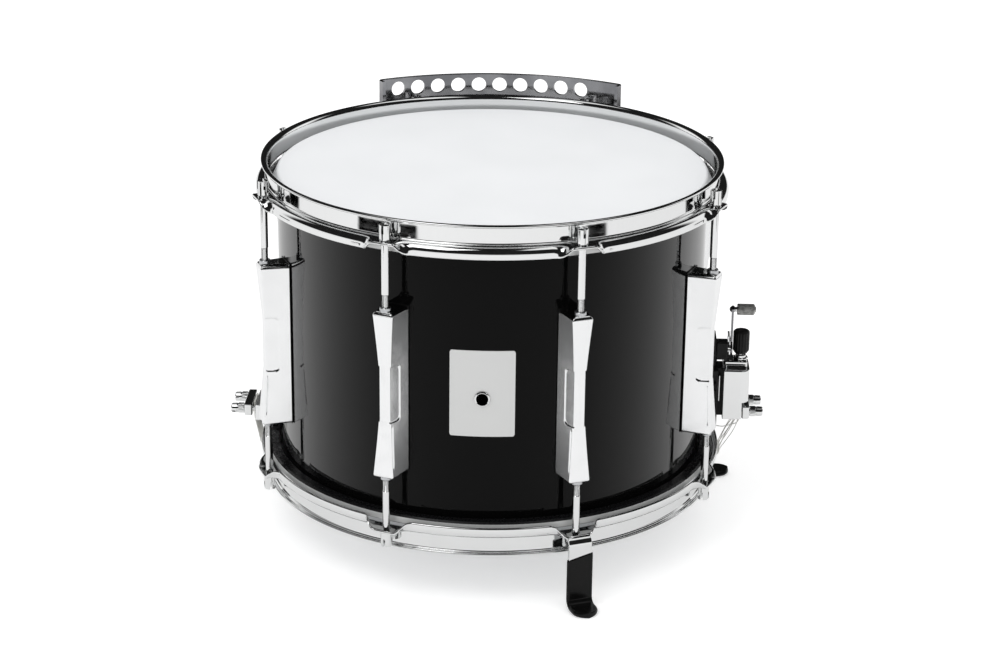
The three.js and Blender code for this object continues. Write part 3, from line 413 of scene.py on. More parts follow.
FINISH = {
    "chrome": finish(
        "chrome_plate", (0.8, 0.805, 0.805), 1.0, 0.05, rough=(60, 6, 0.03, 0.08), grain=(140, 2, 0.012)
    ),
    "cast": finish(
        "cast_chrome", (0.89, 0.895, 0.9), 0.85, 0.18, rough=(90, 8, 0.12, 0.24), grain=(220, 3, 0.03)
    ),
    "lacquer": finish(
        "black_lacquer", (0.002, 0.002, 0.002), 0.0, 0.05, rough=(8, 6, 0.03, 0.08), grain=(45, 2, 0.01)
    ),
    "ply": finish(
        "maple_ply", (0.45, 0.28, 0.15), 0.0, 0.6,
        tint=(40, 6, (0.35, 0.2, 0.1), (0.56, 0.37, 0.2), (1, 1, 14)),
    ),
    "film": finish(
        "white_film", (0.95, 0.965, 0.98), 0.0, 0.4, rough=(14, 3, 0.36, 0.44), grain=(1500, 2, 0.004)
    ),
    "plate": finish("silver_plate", (0.63, 0.635, 0.63), 0.25, 0.34, rough=(300, 8, 0.28, 0.42, (1, 1, 40))),
    # Painted dark reflection and shade: the flesh hoop's alloy is coloured near black. This stands in for
    # the black shell it mirrors and the shadow under the counter hoop.
    "anodised": finish("alloy_painted_black", (0.012, 0.012, 0.013), 0.5, 0.25, 1.3, rough=(400, 6, 0.2, 0.34)),
    # On the rail this is dark nickel. On the lever blade it is painted shade: the darker colour stands in
    # for the dark surroundings the blade mirrors.
    "nickel": finish(
        "dark_nickel_and_painted_shade", (0.3, 0.3, 0.31), 1.0, 0.14, rough=(90, 6, 0.1, 0.2),
        tint=(22, 5, (0.2, 0.2, 0.21), (0.4, 0.4, 0.41)),
    ),
    "rubber": finish(
        "dipped_rubber", (0.004, 0.004, 0.004), 0.0, 0.2, 1.27,
        rough=(150, 6, 0.14, 0.26), grain=(260, 3, 0.04),
    ),
    "plastic": finish(
        "black_plastic", (0.006, 0.006, 0.006), 0.0, 0.36, 1.3,
        rough=(300, 5, 0.3, 0.5), grain=(900, 2, 0.02),
    ),
    "steel": finish("zinc_steel", (0.56, 0.57, 0.58), 1.0, 0.28, rough=(500, 6, 0.2, 0.4)),
    "worn": finish(
        "worn_knurl", (0.5, 0.5, 0.49), 1.0, 0.34, rough=(400, 5, 0.26, 0.45),
        tint=(260, 5, (0.3, 0.3, 0.29), (0.62, 0.62, 0.6)),
    ),
    "gut": finish(
        "coated_gut", (0.74, 0.74, 0.71), 0.0, 0.42, tint=(300, 4, (0.66, 0.65, 0.61), (0.8, 0.8, 0.77))
    ),
}
gloss_at_edges(FINISH["lacquer"].node_tree, 0.07, 2.0)


# The shell and heads.

def add_shell():
    inner = SHELL_R - WALL
    profile = [
        (inner, -EDGE_Z + 5),
        (SHELL_R - 2.3, -EDGE_Z),
        (SHELL_R - 1.6, -EDGE_Z + 0.2),
        (SHELL_R, -EDGE_Z + 2),
        (SHELL_R, EDGE_Z - 2),
        (SHELL_R - 1.6, EDGE_Z - 0.2),
        (SHELL_R - 2.3, EDGE_Z),
        (inner, EDGE_Z - 5),
    ]
    vent = moved(prism(circle(0, VENT_Z, 5.4), inner - 2, SHELL_R + 2, "X"), spoke(0))
    bm = carve(lathe(profile, TURN_STEPS, ring=True), vent)
    second_finish(bm, lambda radius, normal: radius < SHELL_R - 1.7)
    add("shell_body", bm, ("lacquer", "ply"), "shell")


def add_head(name, side):
    """The film and its flesh hoop. side is 1 for the batter head and -1 for the snare head."""
    film = 0.5
    collar = SHELL_R + 5.1
    top = LEDGE_Z - SHEET - FIT
    floor = top - 6.4
    crown = SHELL_R - 2
    outside = [(0, HEAD_Z), (crown, HEAD_Z)]
    outside += arc(crown, HEAD_Z - 2.6, 2.6, 80, 20, 3)
    outside += [(collar - 0.9, top + 1.6), (collar, top), (collar, floor + FIT)]
    inside = [(max(r - film, 0), z - (film if r < crown + 1 else film / 2)) for r, z in outside[:-1]]
    inside[0] = (0, HEAD_Z - film)
    profile = outside + [(collar - film, floor + FIT)] + inside[::-1]
    bm = moved(lathe(profile, TURN_STEPS), Matrix.Scale(side, 4, (0, 0, 1)))
    add(f"{name}_film", tidy(bm), "film", f"{name}_head")
    low = top - 7
    rim = [
        (SHELL_R + 1.9, floor),
        (SHELL_R + 1.9, low + 0.6),
        (SHELL_R + 2.5, low),
        (SHELL_R + 9.4, low),
        (SHELL_R + 11, low + 1.4),
        (SHELL_R + 11, top - 0.6),
        (SHELL_R + 10.4, top),
        (collar + FIT, top),
        (collar + FIT, floor),
    ]
    bm = tidy(moved(lathe(rim, TURN_STEPS, ring=True), Matrix.Scale(side, 4, (0, 0, 1))))
    # The alloy is painted black for the shell's dark reflection and shade. Only the outer face keeps the
    # silver plate.
    second_finish(bm, lambda radius, normal: radius > SHELL_R + 10.8)
    add(f"{name}_film_hoop", bm, ("anodised", "plate"), f"{name}_flesh_hoop")


# The counter hoops.

def hoop_centreline(ear):
    """The middle of the hoop's sheet, from lip to flange, as (radius, z, heading) points."""
    half = SHEET / 2
    bend = 1.5 + half
    curl = bend * math.pi / 2
    moves = (
        (LIP_REACH - SHEET - bend, 0, 1),
        (curl, 90, 6),
        (WALL_HEIGHT - SHEET - 2 * bend, 0, 4),
        (curl, 90, 6),
        (LEDGE + half - bend, 0, 2),
        (BEND * math.pi / 2, -90 * (1 - ear), 6),
        (FLANGE - BEND - SHEET + ear * EAR_REACH, 0, 4),
    )
    r, z, heading = WALL_IN + LIP_REACH - half, LIP_Z - half, 180.0
    points = [(r, z, heading)]
    for length, turning, steps in moves:
        for _ in range(steps):
            heading += turning / steps / 2
            r += length / steps * math.cos(math.radians(heading))
            z += length / steps * math.sin(math.radians(heading))
            heading += turning / steps / 2
            points.append((r, z, heading))
    return points


def hoop_section(ear):
    """The sheet's outline round its middle, with rounded edges."""
    line = hoop_centreline(ear)
    half = SHEET / 2
    left, right = [], []
    for r, z, heading in line:
        normal = math.radians(heading + 90)
        left.append((r + half * math.cos(normal), z + half * math.sin(normal)))
        right.append((r - half * math.cos(normal), z - half * math.sin(normal)))
    (r0, z0, h0), (r1, z1, h1) = line[0], line[-1]
    start = arc(r0, z0, half, h0 + 90, h0 + 270, 6)[1:-1]
    end = arc(r1, z1, half, h1 - 90, h1 + 90, 6)[1:-1]
    return right + end + left[::-1] + start


def make_hoop():
    flat = math.degrees(EAR_FLAT / 2 / ROD_R)
    run = math.degrees(EAR_RUN / ROD_R)
    rings = []
    for i in range(TURN_STEPS * 2):
        angle = 360 * (i + 0.5) / (TURN_STEPS * 2)
        away = abs(angle % STEP - STEP / 2)
        ear = 1 - ease((away - flat) / run)
        turn = math.radians(angle)
        x, y = math.sin(turn), -math.cos(turn)
        rings.append([(r * x, r * y, z) for r, z in hoop_section(ear)])
    bm = skin(rings, looped=True)
    holes = []
    for i in range(LUGS):
        holes.append(moved(rod_hole(LEDGE_Z - SHEET - 1, LEDGE_Z + 1), spoke((i + 0.5) * STEP)))
    return carve(bm, merge(*holes))


def add_hoops():
    upper = make_hoop()
    lower = moved(upper.copy(), turn_about("X", 180))
    add("batter_counter_hoop", upper, "chrome", "batter_hoop")
    low, high = -LIP_Z + SHEET + 1.8, -LEDGE_Z - 1.8
    near, half = 178, 22
    gates = []
    for side in (-1, 1):
        gates.append(soften(box(side * near, side * (WALL_OUT + 1), -half, half, low, high), 1.2, 3))
    add("snare_counter_hoop", carve(lower, merge(*gates)), "chrome", "snare_hoop")


# Lugs and tension rods.

LUG_BACK = SHELL_R + 0.9
LUG_FACE = ROD_R + 6
LUG_MIDDLE = (LUG_TOP + LUG_BOTTOM) / 2


def lug_widths(z):
    """The face's width, and the face's radius, at a height."""
    waist, wide = 11, 17.7
    share = max((abs(z - LUG_MIDDLE) - 22) / (LUG_TOP - LUG_MIDDLE - 22), 0)
    return waist + (wide - waist) * share ** 1.25, LUG_FACE - 3.6 * (1 - share)


def lug_ring(z, inset):
    """A section of the lug. Its sides are sunk behind the waist, down to a rounded step."""
    width, face = lug_widths(z)
    half, back_half = width / 2 - inset, 21.8 / 2 - inset
    back, front = LUG_BACK, face - inset
    corner = 1.2
    steps = 30
    along = max((abs(z - LUG_MIDDLE) - 19.5) / 4, 0)
    crease = ease((LUG_MIDDLE - 25 - z) / 4) * ease((z - LUG_BOTTOM - 5) / 8)
    side = []
    for i in range(steps + 1):
        share = i / steps
        r = back + (front - corner - back) * share
        y = back_half + (half - back_half) * share
        across = max((front - 7 - r) / 4, 0)
        step = (math.hypot(across, along) - 0.8) / 0.2
        groove = 0.8 * crease * max(1 - abs(front - 2 - r) / 0.8, 0)
        side.append((r, y - 0.85 * (1 - ease(step)) - groove))
    right = side + arc(front - corner, side[-1][1] - corner, corner, 90, 0, 5)[1:]
    left = [(r, -y) for r, y in right[::-1]]
    return [(r, y, z) for r, y in right + left]


def make_lug():
    foot, crown = 1.8, 4
    low, high = LUG_BOTTOM + foot, LUG_TOP - crown
    count = 200
    rings = [lug_ring(low - z, foot - r) for r, z in arc(0, 0, foot, 90, 0, 6)[:-1]]
    rings += [lug_ring(low + (high - low) * i / count, 0) for i in range(count + 1)]
    rings += [lug_ring(high + z, crown - r) for r, z in arc(0, 0, crown, 0, 90, 9)[1:]]
    return skin(rings)


def make_nut(end, side):
    """The collar of a threaded nut, standing out of a lug's end. side is 1 for the upper end."""
    foot = end - side * (NUT_COLLAR + 1)
    return lathe([(3.2, foot), (4.6, foot), (4.6, end - side * 0.5), (4.2, end), (3.2, end)], 32, ring=True)


def make_rod(seat, lug_end):
    collar_top = seat + 2
    top = collar_top + 13.2
    thread_top = lug_end + 13
    low = lug_end - 14
    profile = [(0, low), (2.2, low)]
    pitch = 0.9
    z = low + 0.6
    while z < thread_top - pitch:
        profile += [(2.8, z), (2.8, z + 0.15), (2.4, z + pitch / 2), (2.4, z + pitch / 2 + 0.1)]
        z += pitch
    profile += [(2.8, thread_top - 0.4), (3.1, thread_top), (3.1, seat), (6.5, seat), (7, seat + 0.5)]
    profile += [(7, collar_top - 0.8), (6.7, collar_top - 0.3), (6.1, collar_top), (4.2, collar_top + 0.1)]
    profile += [(4.2, collar_top + 0.7), (4.7, collar_top + 1.1)]
    profile += [(4.7, top - 0.8), (4.5, top - 0.25), (4, top), (0, top)]
    bm = lathe(profile, 40)
    slot = box(-6, 6, -1, 1, top - 7, top + 1)
    return carve(bm, unite(slot.copy(), moved(slot, turn_about("Z", 90))))


def add_lugs():
    casting = second_finish(make_lug(), lambda radius, normal: abs(normal.z) > 0.25)
    lug = as_mesh("cast_lug", casting)
    nuts = as_mesh("lug_nuts", moved(merge(make_nut(LUG_HIGH, 1), make_nut(LUG_LOW, -1)), shift(x=ROD_R)))
    gasket = box(SHELL_R + 0.1, LUG_BACK + 0.1, -11.1, 11.1, LUG_BOTTOM - 0.3, LUG_TOP + 0.3)
    seal = as_mesh("lug_gasket", soften(gasket, 0.3))
    rods = {}
    for end, lug_end, half_turn in (("top", LUG_TOP, 0), ("bottom", -LUG_BOTTOM, 180)):
        for on_strip in (False, True):
            seat = LEDGE_Z + FIT + (STRIP + FIT) * on_strip
            rod = moved(make_rod(seat, lug_end), shift(x=ROD_R) @ turn_about("X", half_turn))
            rods[end, on_strip] = as_mesh(f"rod_{end}", rod)
    for i in range(LUGS):
        number, angle = i + 1, (i + 0.5) * STEP
        add(f"lug_casting_{number}", lug, ("cast", "chrome"), f"lug_{number}", angle=angle)
        add(f"lug_nut_pair_{number}", nuts, "steel", angle=angle)
        add(f"lug_seal_{number}", seal, "rubber", angle=angle)
        for end, on_strips in (("top", RAIL_LUGS), ("bottom", FOOT_LUGS)):
            node = f"{end}_rod_{number}"
            add(f"{end}_tension_rod_{number}", rods[end, i in on_strips], "chrome", node, node, angle)


# The badge, the vent and the carrying rail.

def add_badge():
    near, far = SHELL_R + FIT, SHELL_R + FIT + 0.6
    half, low, high = 25.5, -39.55, 31.95
    count, corner, edge = 64, 1.6, 0.12
    rings = []
    for i in range(count + 1):
        y = -half + 2 * half * i / count
        inside = max(abs(y) - (half - corner), 0)
        clip = corner - math.sqrt(max(corner * corner - inside * inside, 0))
        bottom, top = low + clip, high - clip
        turn = y / near
        ring = [(near, bottom), (near, top), (far - edge, top), (far, top - edge), (far, bottom + edge)]
        ring.append((far - edge, bottom))
        rings.append([(r * math.cos(turn), r * math.sin(turn), z) for r, z in ring])
    bm = skin(rings)
    bm = carve(bm, prism(circle(0, VENT_Z, 5.6), near - 3, far + 3, "X"))
    add("badge_sheet", bm, "plate", "badge", angle=0)
    front, back = far + FIT, SHELL_R - WALL - 2 * FIT
    profile = [(4.5, back - 1), (5.9, back - 1.3), (6.3, back - 0.9), (6.3, back), (5.2, back), (5.2, front)]
    profile += [(6.3, front), (6.3, front + 0.5), (5.9, front + 1.1), (5.3, front + 1.3), (4.8, front + 1.1)]
    profile += [(4.5, front + 0.6)]
    ring = moved(lathe(profile, 48, ring=True), shift(z=VENT_Z) @ turn_about("Y", 90))
    add("vent_eyelet", ring, "chrome", "vent_grommet", angle=0)


def strip_ring(place, across, up, width, thick, edge):
    """A rounded rectangle about a point, from two unit directions."""
    ring = []
    for a, b, start in ((1, 1, 0), (-1, 1, 90), (-1, -1, 180), (1, -1, 270)):
        for u, v in arc(a * (width / 2 - edge), b * (thick / 2 - edge), edge, start, start + 90, 3):
            ring.append(tuple(Vector(place) + Vector(across) * u + Vector(up) * v))
    return ring


def bent_strip(path, width, thick, edge=0.5, widths=None):
    """A flat strip swept along [x, z] points, its width along Y."""
    rings = []
    for i, (x, z) in enumerate(path):
        before, after = path[max(i - 1, 0)], path[min(i + 1, len(path) - 1)]
        along = Vector((after[0] - before[0], 0, after[1] - before[1])).normalized()
        up = Vector((-along.z, 0, along.x))
        wide = widths[i] if widths else width
        rings.append(strip_ring((x, 0, z), (0, 1, 0), up, wide, thick, min(edge, wide / 3)))
    return skin(rings)


def rod_hole(low, high):
    return prism(circle(ROD_R, 0, HOLE_R), low, high)


def add_rail():
    inner, thick = ROD_R + 8.6, 3
    holes, pitch, before, after = 10, 18.5, 19, 40.5
    half = math.degrees(((holes - 1) * pitch + before + after) / inner) / 2
    middle = inner + thick / 2
    top = LIP_Z + 15
    low = top - 20
    bend = 3
    plan = []
    for side in (-1, 1):
        turn = math.radians(side * half)
        out = Vector((math.cos(turn), math.sin(turn)))
        along = Vector((math.sin(turn), -math.cos(turn))) * side
        start = along * (thick / 2)
        end = [out * (inner - 7) + start, out * (inner - 3) + start]
        corner = out * (middle - bend) + along * (bend + thick / 2)
        for i in range(9):
            quarter = math.radians(90 * i / 8)
            end.append(corner - along * bend * math.cos(quarter) + out * bend * math.sin(quarter))
        plan.append(end)
    reach = half - math.degrees((bend + thick / 2) / middle)
    sweep = [Vector(p) for p in arc(0, 0, middle, -reach, reach, 120)[1:-1]]
    path = [*plan[0], *sweep, *plan[1][::-1]]
    rings = []
    for i, point in enumerate(path):
        last, following = path[max(i - 1, 0)], path[min(i + 1, len(path) - 1)]
        along = (following - last).normalized()
        normal = (along.y, -along.x, 0)
        centre = (point.x, point.y, (top + low) / 2)
        rings.append(strip_ring(centre, (0, 0, 1), normal, top - low, thick, 0.6))
    strip = skin(rings)
    cutters = []
    for i in range(holes):
        hole = prism(circle(0, (top + low) / 2, 6.5, 40), inner - 3, inner + thick + 3, "X")
        cutters.append(moved(hole, turn_about("Z", half - math.degrees((before + i * pitch) / inner))))
    strip = carve(strip, merge(*cutters))
    tab = LEDGE_Z + FIT + STRIP / 2
    pieces = [strip]
    for side in (-1, 1):
        path = [(WALL_OUT + 1.2 + 0.25 * i, tab) for i in range(2)]
        path += [(middle - 3.6, tab), *arc(middle - 3, tab + 3, 3, -90, 0, 8)[1:], (middle, low + 2)]
        leg = carve(bent_strip(path, 18, STRIP), rod_hole(tab - 3, tab + 3))
        pieces.append(moved(leg, turn_about("Z", side * STEP / 2)))
    add("carrier_rail", merge(*pieces), "nickel", "carrying_rail", angle=180)


# The feet.

TAB_UNDER = -LEDGE_Z - FIT
FOOT_FLOOR = TAB_UNDER - 60
FOOT_R = ROD_R + 10.5


def add_feet():
    tab = TAB_UNDER - STRIP / 2
    path = [(WALL_OUT + 1.8, tab), (WALL_OUT + 3, tab), (WALL_OUT + 6, tab)]
    path += [(FOOT_R - 5.4, tab), *arc(FOOT_R - 4.6, tab - 4.6, 4.6, 90, 0, 8)[1:], (FOOT_R, -150)]
    strip = bent_strip(path, 19.2, STRIP, widths=[10, 14, 19.2] + [19.2] * (len(path) - 3))
    strip = as_mesh("foot_strip", carve(strip, rod_hole(tab - 3, tab + 3)))
    floor = FOOT_FLOOR + 2.35
    tip = FOOT_R + 21.6
    bend = 6.6
    path = [(FOOT_R, TAB_UNDER - 16), (FOOT_R, TAB_UNDER - 16.4), (FOOT_R, TAB_UNDER - 17.4), (FOOT_R, -150)]
    path += arc(FOOT_R + bend, floor + bend, bend, 180, 270, 12)
    wide, steps = 21.7, 14
    widths = [20.6, 21.4] + [wide] * 15
    nose = wide / 2
    for i in range(1, steps + 1):
        x = tip - nose + nose * math.sin(math.radians(90 * i / steps)) if i > 1 else tip - nose
        across = math.sqrt(max(1 - ((x - tip + nose) / nose) ** 2, 0.012))
        path.append((min(x, tip - 0.02 * (steps - i)), floor))
        widths.append(wide * across)
    sleeve = bent_strip(path, wide, 4.7, 2.2, widths)
    for vert in sleeve.verts:
        if vert.co.z > TAB_UNDER - 18:
            vert.co.z += 0.22 * vert.co.y
    sleeve = as_mesh("foot_sleeve", sleeve)
    for lug, name, swing in zip(FOOT_LUGS, ("front", "right", "left"), (0, 0, -24)):
        hinge = shift(x=ROD_R * MM)
        place = spoke((lug + 0.5) * STEP) @ hinge @ turn_about("Z", swing) @ hinge.inverted()
        for label, mesh, key in (("foot", strip, "chrome"), ("foot_sleeve", sleeve, "rubber")):
            add(f"{label}_piece_{name}", mesh, key, f"{label}_{name}", place=place)


# The throw-off strainer. Radii of its layers, from the shell outwards.

BASE_NEAR = SHELL_R + FIT
BASE_FACE = BASE_NEAR + 4.6
RAIL_FACE = BASE_FACE + 10
BOX_NEAR = RAIL_FACE + 4.5
BOX_FAR = BOX_NEAR + 22
PIVOT_NEAR = RAIL_FACE - 2
PIVOT_FAR = PIVOT_NEAR + 9.5
YOKE_NEAR = PIVOT_FAR + 0.4
YOKE_FAR = YOKE_NEAR + 1.6
LEVER_NEAR = YOKE_FAR + 0.4
LEVER_FAR = LEVER_NEAR + 1.6
KNOB_R = LEVER_FAR + 0.6 + 6.9
PLATE_FAR = BOX_FAR + 0.9
PLATE_NEAR = PLATE_FAR - 6.5
SLOT_NEAR = PLATE_NEAR - 2.4
HUB_Z = -28
GRIP_Z = HUB_Z + 34.5
BOX_TOP = -42.5
BOX_FLOOR = BOX_TOP - 43.5
SEAT_TOP = BOX_TOP + 4.9
PLATE_TOP = BOX_FLOOR + 11.3
THUMB_Z = PLATE_TOP - 5.3
CRANK = 8
CRANK_TURN = math.radians(38)
CRANK_Y = CRANK * math.cos(CRANK_TURN)
CRANK_Z = HUB_Z + CRANK * math.sin(CRANK_TURN)
THUMB_Y = 12.7
BUTT_THUMB_Z = -87.8
BUTT_TOP = -83
BUTT_FLOOR = -97
BUTT_FACE = BASE_NEAR + 21.5


def rounded(a0, a1, b0, b1, corner, steps=6):
    points = arc(a1 - corner, b1 - corner, corner, 0, 90, steps)
    points += arc(a0 + corner, b1 - corner, corner, 90, 180, steps)
    points += arc(a0 + corner, b0 + corner, corner, 180, 270, steps)
    return points + arc(a1 - corner, b0 + corner, corner, 270, 360, steps)


def disc(y, z, radius, near, far, steps=40):
    return prism(circle(y, z, radius, steps), near, far, "X")


def on_shell(half, far, corner):
    """A plan outline whose back follows the shell."""
    bow = math.degrees(math.asin(half / BASE_NEAR))
    back = arc(0, 0, BASE_NEAR, bow, -bow, 10)
    front = arc(far - corner, -half + corner, corner, -90, 0, 5)
    return back + front + arc(far - corner, half - corner, corner, 0, 90, 5)


def add_base():
    low, top = BOX_FLOOR - 8, HUB_Z + 12
    plate = soften(prism(on_shell(17, BASE_FACE, 1), low, top), 0.5)
    parts = []
    neck, tongue = 8.4 + FIT, 11.4 + FIT
    for side in (-1, 1):
        wall = [(BASE_FACE - 1, 17), (RAIL_FACE, 17), (RAIL_FACE, neck), (RAIL_FACE - 3, neck)]
        wall += [(RAIL_FACE - 3, tongue), (BASE_FACE - 1, tongue)]
        wall = [(x, side * y) for x, y in wall]
        parts.append(soften(prism(wall, low, BOX_TOP - FIT), 0.6))
    pillar = box(BASE_FACE - 1, PIVOT_NEAR - FIT, -10, 10, BOX_TOP, top)
    parts.append(soften(pillar, 0.8))
    for name, y in (("front", -13.4), ("rear", 13.4)):
        head = lathe([(0, -0.3), (2.9, -0.3), (2.9, 0.7), (2.3, 1.5), (1.2, 2), (0, 2.1)], 24)
        head = carve(head, box(-3.2, 3.2, -0.4, 0.4, 1.2, 3))
        head = moved(head, shift(BASE_FACE, y, HUB_Z + 7.5) @ turn_about("X", 20 * y) @ turn_about("Y", 90))
        add(f"base_screw_{name}", head, "chrome")
    bm = merge(plate, *parts)
    slots = []
    for z in range(-88, -48, 7):
        for side in (-1, 1):
            slots.append(box(BASE_FACE + 1.5, RAIL_FACE - 1.5, side * 14.5, side * 19, z - 1.8, z + 1.8))
    bm = carve(bm, disc(0, HUB_Z, 2.9, PIVOT_NEAR - 4.4, PIVOT_NEAR + 1), merge(*slots))
    add("strainer_body", bm, "plastic", "strainer_base")
    for name, side in (("front", -1), ("rear", 1)):
        profile = [(0, -71), (0.9, -71), (1.1, -70.7), (1.1, -48.3), (0.9, -48), (0, -48)]
        rod = moved(lathe(profile, 28), shift(RAIL_FACE + 1.3, side * 13.2))
        add(f"guide_rod_{name}", rod, "chrome")


def add_pivot():
    cheek = soften(box(PIVOT_NEAR, PIVOT_FAR, -10, -4, HUB_Z - 7.5, HUB_Z + 7.5), 0.7, 3)
    web = box(PIVOT_NEAR + 0.1, PIVOT_FAR - 0.1, -5, 0, HUB_Z - 7.3, HUB_Z)
    barrel = soften(disc(0, HUB_Z, 7.5, PIVOT_NEAR + FIT, PIVOT_FAR, 64), 0.6, 3)
    bm = carve(unite(cheek, web, barrel), disc(0, HUB_Z, 2.9, PIVOT_NEAR - 1, PIVOT_FAR + 1))
    add("pivot_barrel", bm, "plastic", "pivot_block")


def add_lever():
    arm = [(-3.5, HUB_Z), (3.5, HUB_Z), (3.1, GRIP_Z)]
    arm += [*arc(0, GRIP_Z, 3.1, 0, 180, 10)[1:-1], (-3.1, GRIP_Z)]
    plate = prism(arm, LEVER_NEAR, LEVER_FAR, "X")
    hub = disc(0, HUB_Z, 7.5, LEVER_NEAR, LEVER_FAR, 48)
    along = Vector((math.cos(CRANK_TURN), math.sin(CRANK_TURN)))
    across = Vector((-along.y, along.x))
    lobe = []
    for reach, side in ((0, -1), (CRANK, -1), (CRANK, 1), (0, 1)):
        point = Vector((0, HUB_Z)) + along * reach + across * side * 2.8
        lobe.append((point.x, point.y))
    lobe = prism(lobe, LEVER_NEAR, LEVER_FAR, "X")
    lobe_end = disc(CRANK_Y, CRANK_Z, 2.8, LEVER_NEAR, LEVER_FAR)
    blade = soften(unite(plate, hub, lobe, lobe_end), 0.3, 2, 40)
    pins = [
        disc(0, HUB_Z, 2.5, PIVOT_NEAR - 2, LEVER_FAR - 0.2),
        disc(CRANK_Y, CRANK_Z, 1.7, YOKE_NEAR, LEVER_FAR - 0.2),
        disc(0, GRIP_Z, 2, LEVER_FAR - 0.3, LEVER_FAR + 15.2),
    ]
    for y, z, radius in ((0, HUB_Z, 3.2), (CRANK_Y, CRANK_Z, 1.9)):
        rivet = lathe([(0, -0.4), (radius, -0.4), (radius, 0.1), (radius * 0.7, 0.3), (0, 0.38)], 28)
        pins.append(moved(rivet, shift(LEVER_FAR, y, z) @ turn_about("Y", 90)))
    ball = bmesh.new()
    bmesh.ops.create_uvsphere(ball, u_segments=32, v_segments=20, radius=2.8)
    pins.append(moved(ball, shift((LEVER_NEAR + LEVER_FAR) / 2, 0, GRIP_Z)))
    # The blade takes the darker metal as painted shade, for the dark reflection it shows beside the chrome
    # pins.
    add("lever_arm", blade, "nickel", "throw_off_lever", "lever")
    add("lever_pins", merge(*pins), "chrome", body="lever")
    near = LEVER_FAR + 2.8
    rows, columns, bore = 44, 120, 2.35
    rings = []
    for i in range(columns):
        turn = 2 * math.pi * i / columns
        ring = [(bore * math.cos(turn), bore * math.sin(turn), z) for z in (15.7, 0)]
        for k in range(rows + 1):
            z = 14.6 * k / rows
            twist = 2 * math.pi * z / 2.6
            diamond = abs(math.sin(10 * turn + twist)) * abs(math.sin(10 * turn - twist))
            taper = min(1, (z + 0.25) / 0.8, (14.75 - z) / 1.1)
            radius = 4.0 + 0.85 * ease(taper) - 0.42 * (1 - diamond) * ease(taper)
            ring.append((radius * math.cos(turn), radius * math.sin(turn), z))
        ring.append((3.3 * math.cos(turn), 3.3 * math.sin(turn), 14.9))
        rings.append(ring)
    grip = filled(skin(rings, looped=True, closed=False))
    grip = moved(grip, shift(near, 0, GRIP_Z) @ turn_about("Y", 90))
    add("knurled_grip", grip, "worn", "lever_grip", "lever")


def add_carriage():
    corner, half, wall = 8, 18, 2

    def plan(inset, near):
        points = [(near, -half + inset)]
        points += arc(BOX_FAR - corner, -half + corner, corner - inset, -90, 0, 12)
        points += arc(BOX_FAR - corner, half - corner, corner - inset, 0, 90, 12)
        return points + [(near, half - inset)]

    body = soften(prism(plan(0, BOX_NEAR), BOX_FLOOR, BOX_TOP), 0.6, 3, 50)
    cavity = prism(plan(wall, BOX_NEAR + wall), BOX_FLOOR - 1, BOX_TOP - 2.5)
    notch = box(PLATE_NEAR - FIT, BOX_FAR + 1, -19, 19, BOX_FLOOR - 1, BOX_FLOOR + 15)
    body = carve(body, cavity, notch)
    far = BOX_FAR - wall
    seat = soften(prism(rounded(BOX_NEAR + 0.6, far, -9, 9, 2.5), BOX_TOP - 1, BOX_TOP + 2.3), 0.3)
    step = soften(prism(rounded(BOX_NEAR + 0.3, far, -9, 9, 2), BOX_TOP + 2.2, SEAT_TOP), 0.4)
    far = RAIL_FACE - 3 - FIT
    tongue = [(BASE_FACE + FIT, -11.4), (far, -11.4), (far, -8.4), (BOX_NEAR + 1, -8.4), (BOX_NEAR + 1, 8.4)]
    tongue += [(far, 8.4), (far, 11.4), (BASE_FACE + FIT, 11.4)]
    tongue = prism(tongue, BOX_FLOOR, BOX_TOP - 1)
    arm = [(3.3, BOX_TOP - 1.5), (13.3, BOX_TOP - 1.5), *arc(10.3, CRANK_Z + 3, 3, 0, 90, 8)]
    arm = prism(arm + arc(6.3, CRANK_Z + 3, 3, 90, 180, 8), YOKE_NEAR, YOKE_FAR, "X")
    track = rounded(CRANK_Y - 2.24, 10.24, CRANK_Z - 2.24, CRANK_Z + 2.24, 1.9)
    track = prism(track, YOKE_NEAR - 1, YOKE_FAR + 1, "X")
    arm = soften(carve(arm, track), 0.25, 2, 40)
    bore = prism(circle(KNOB_R, 0, 2.9), SEAT_TOP - 12, SEAT_TOP + 2)
    top = carve(unite(body, seat, step), bore)
    add("carriage_housing", merge(top, arm), "chrome", "snare_carriage", "carriage")
    add("carriage_tongue", tongue, "plastic", body="carriage")


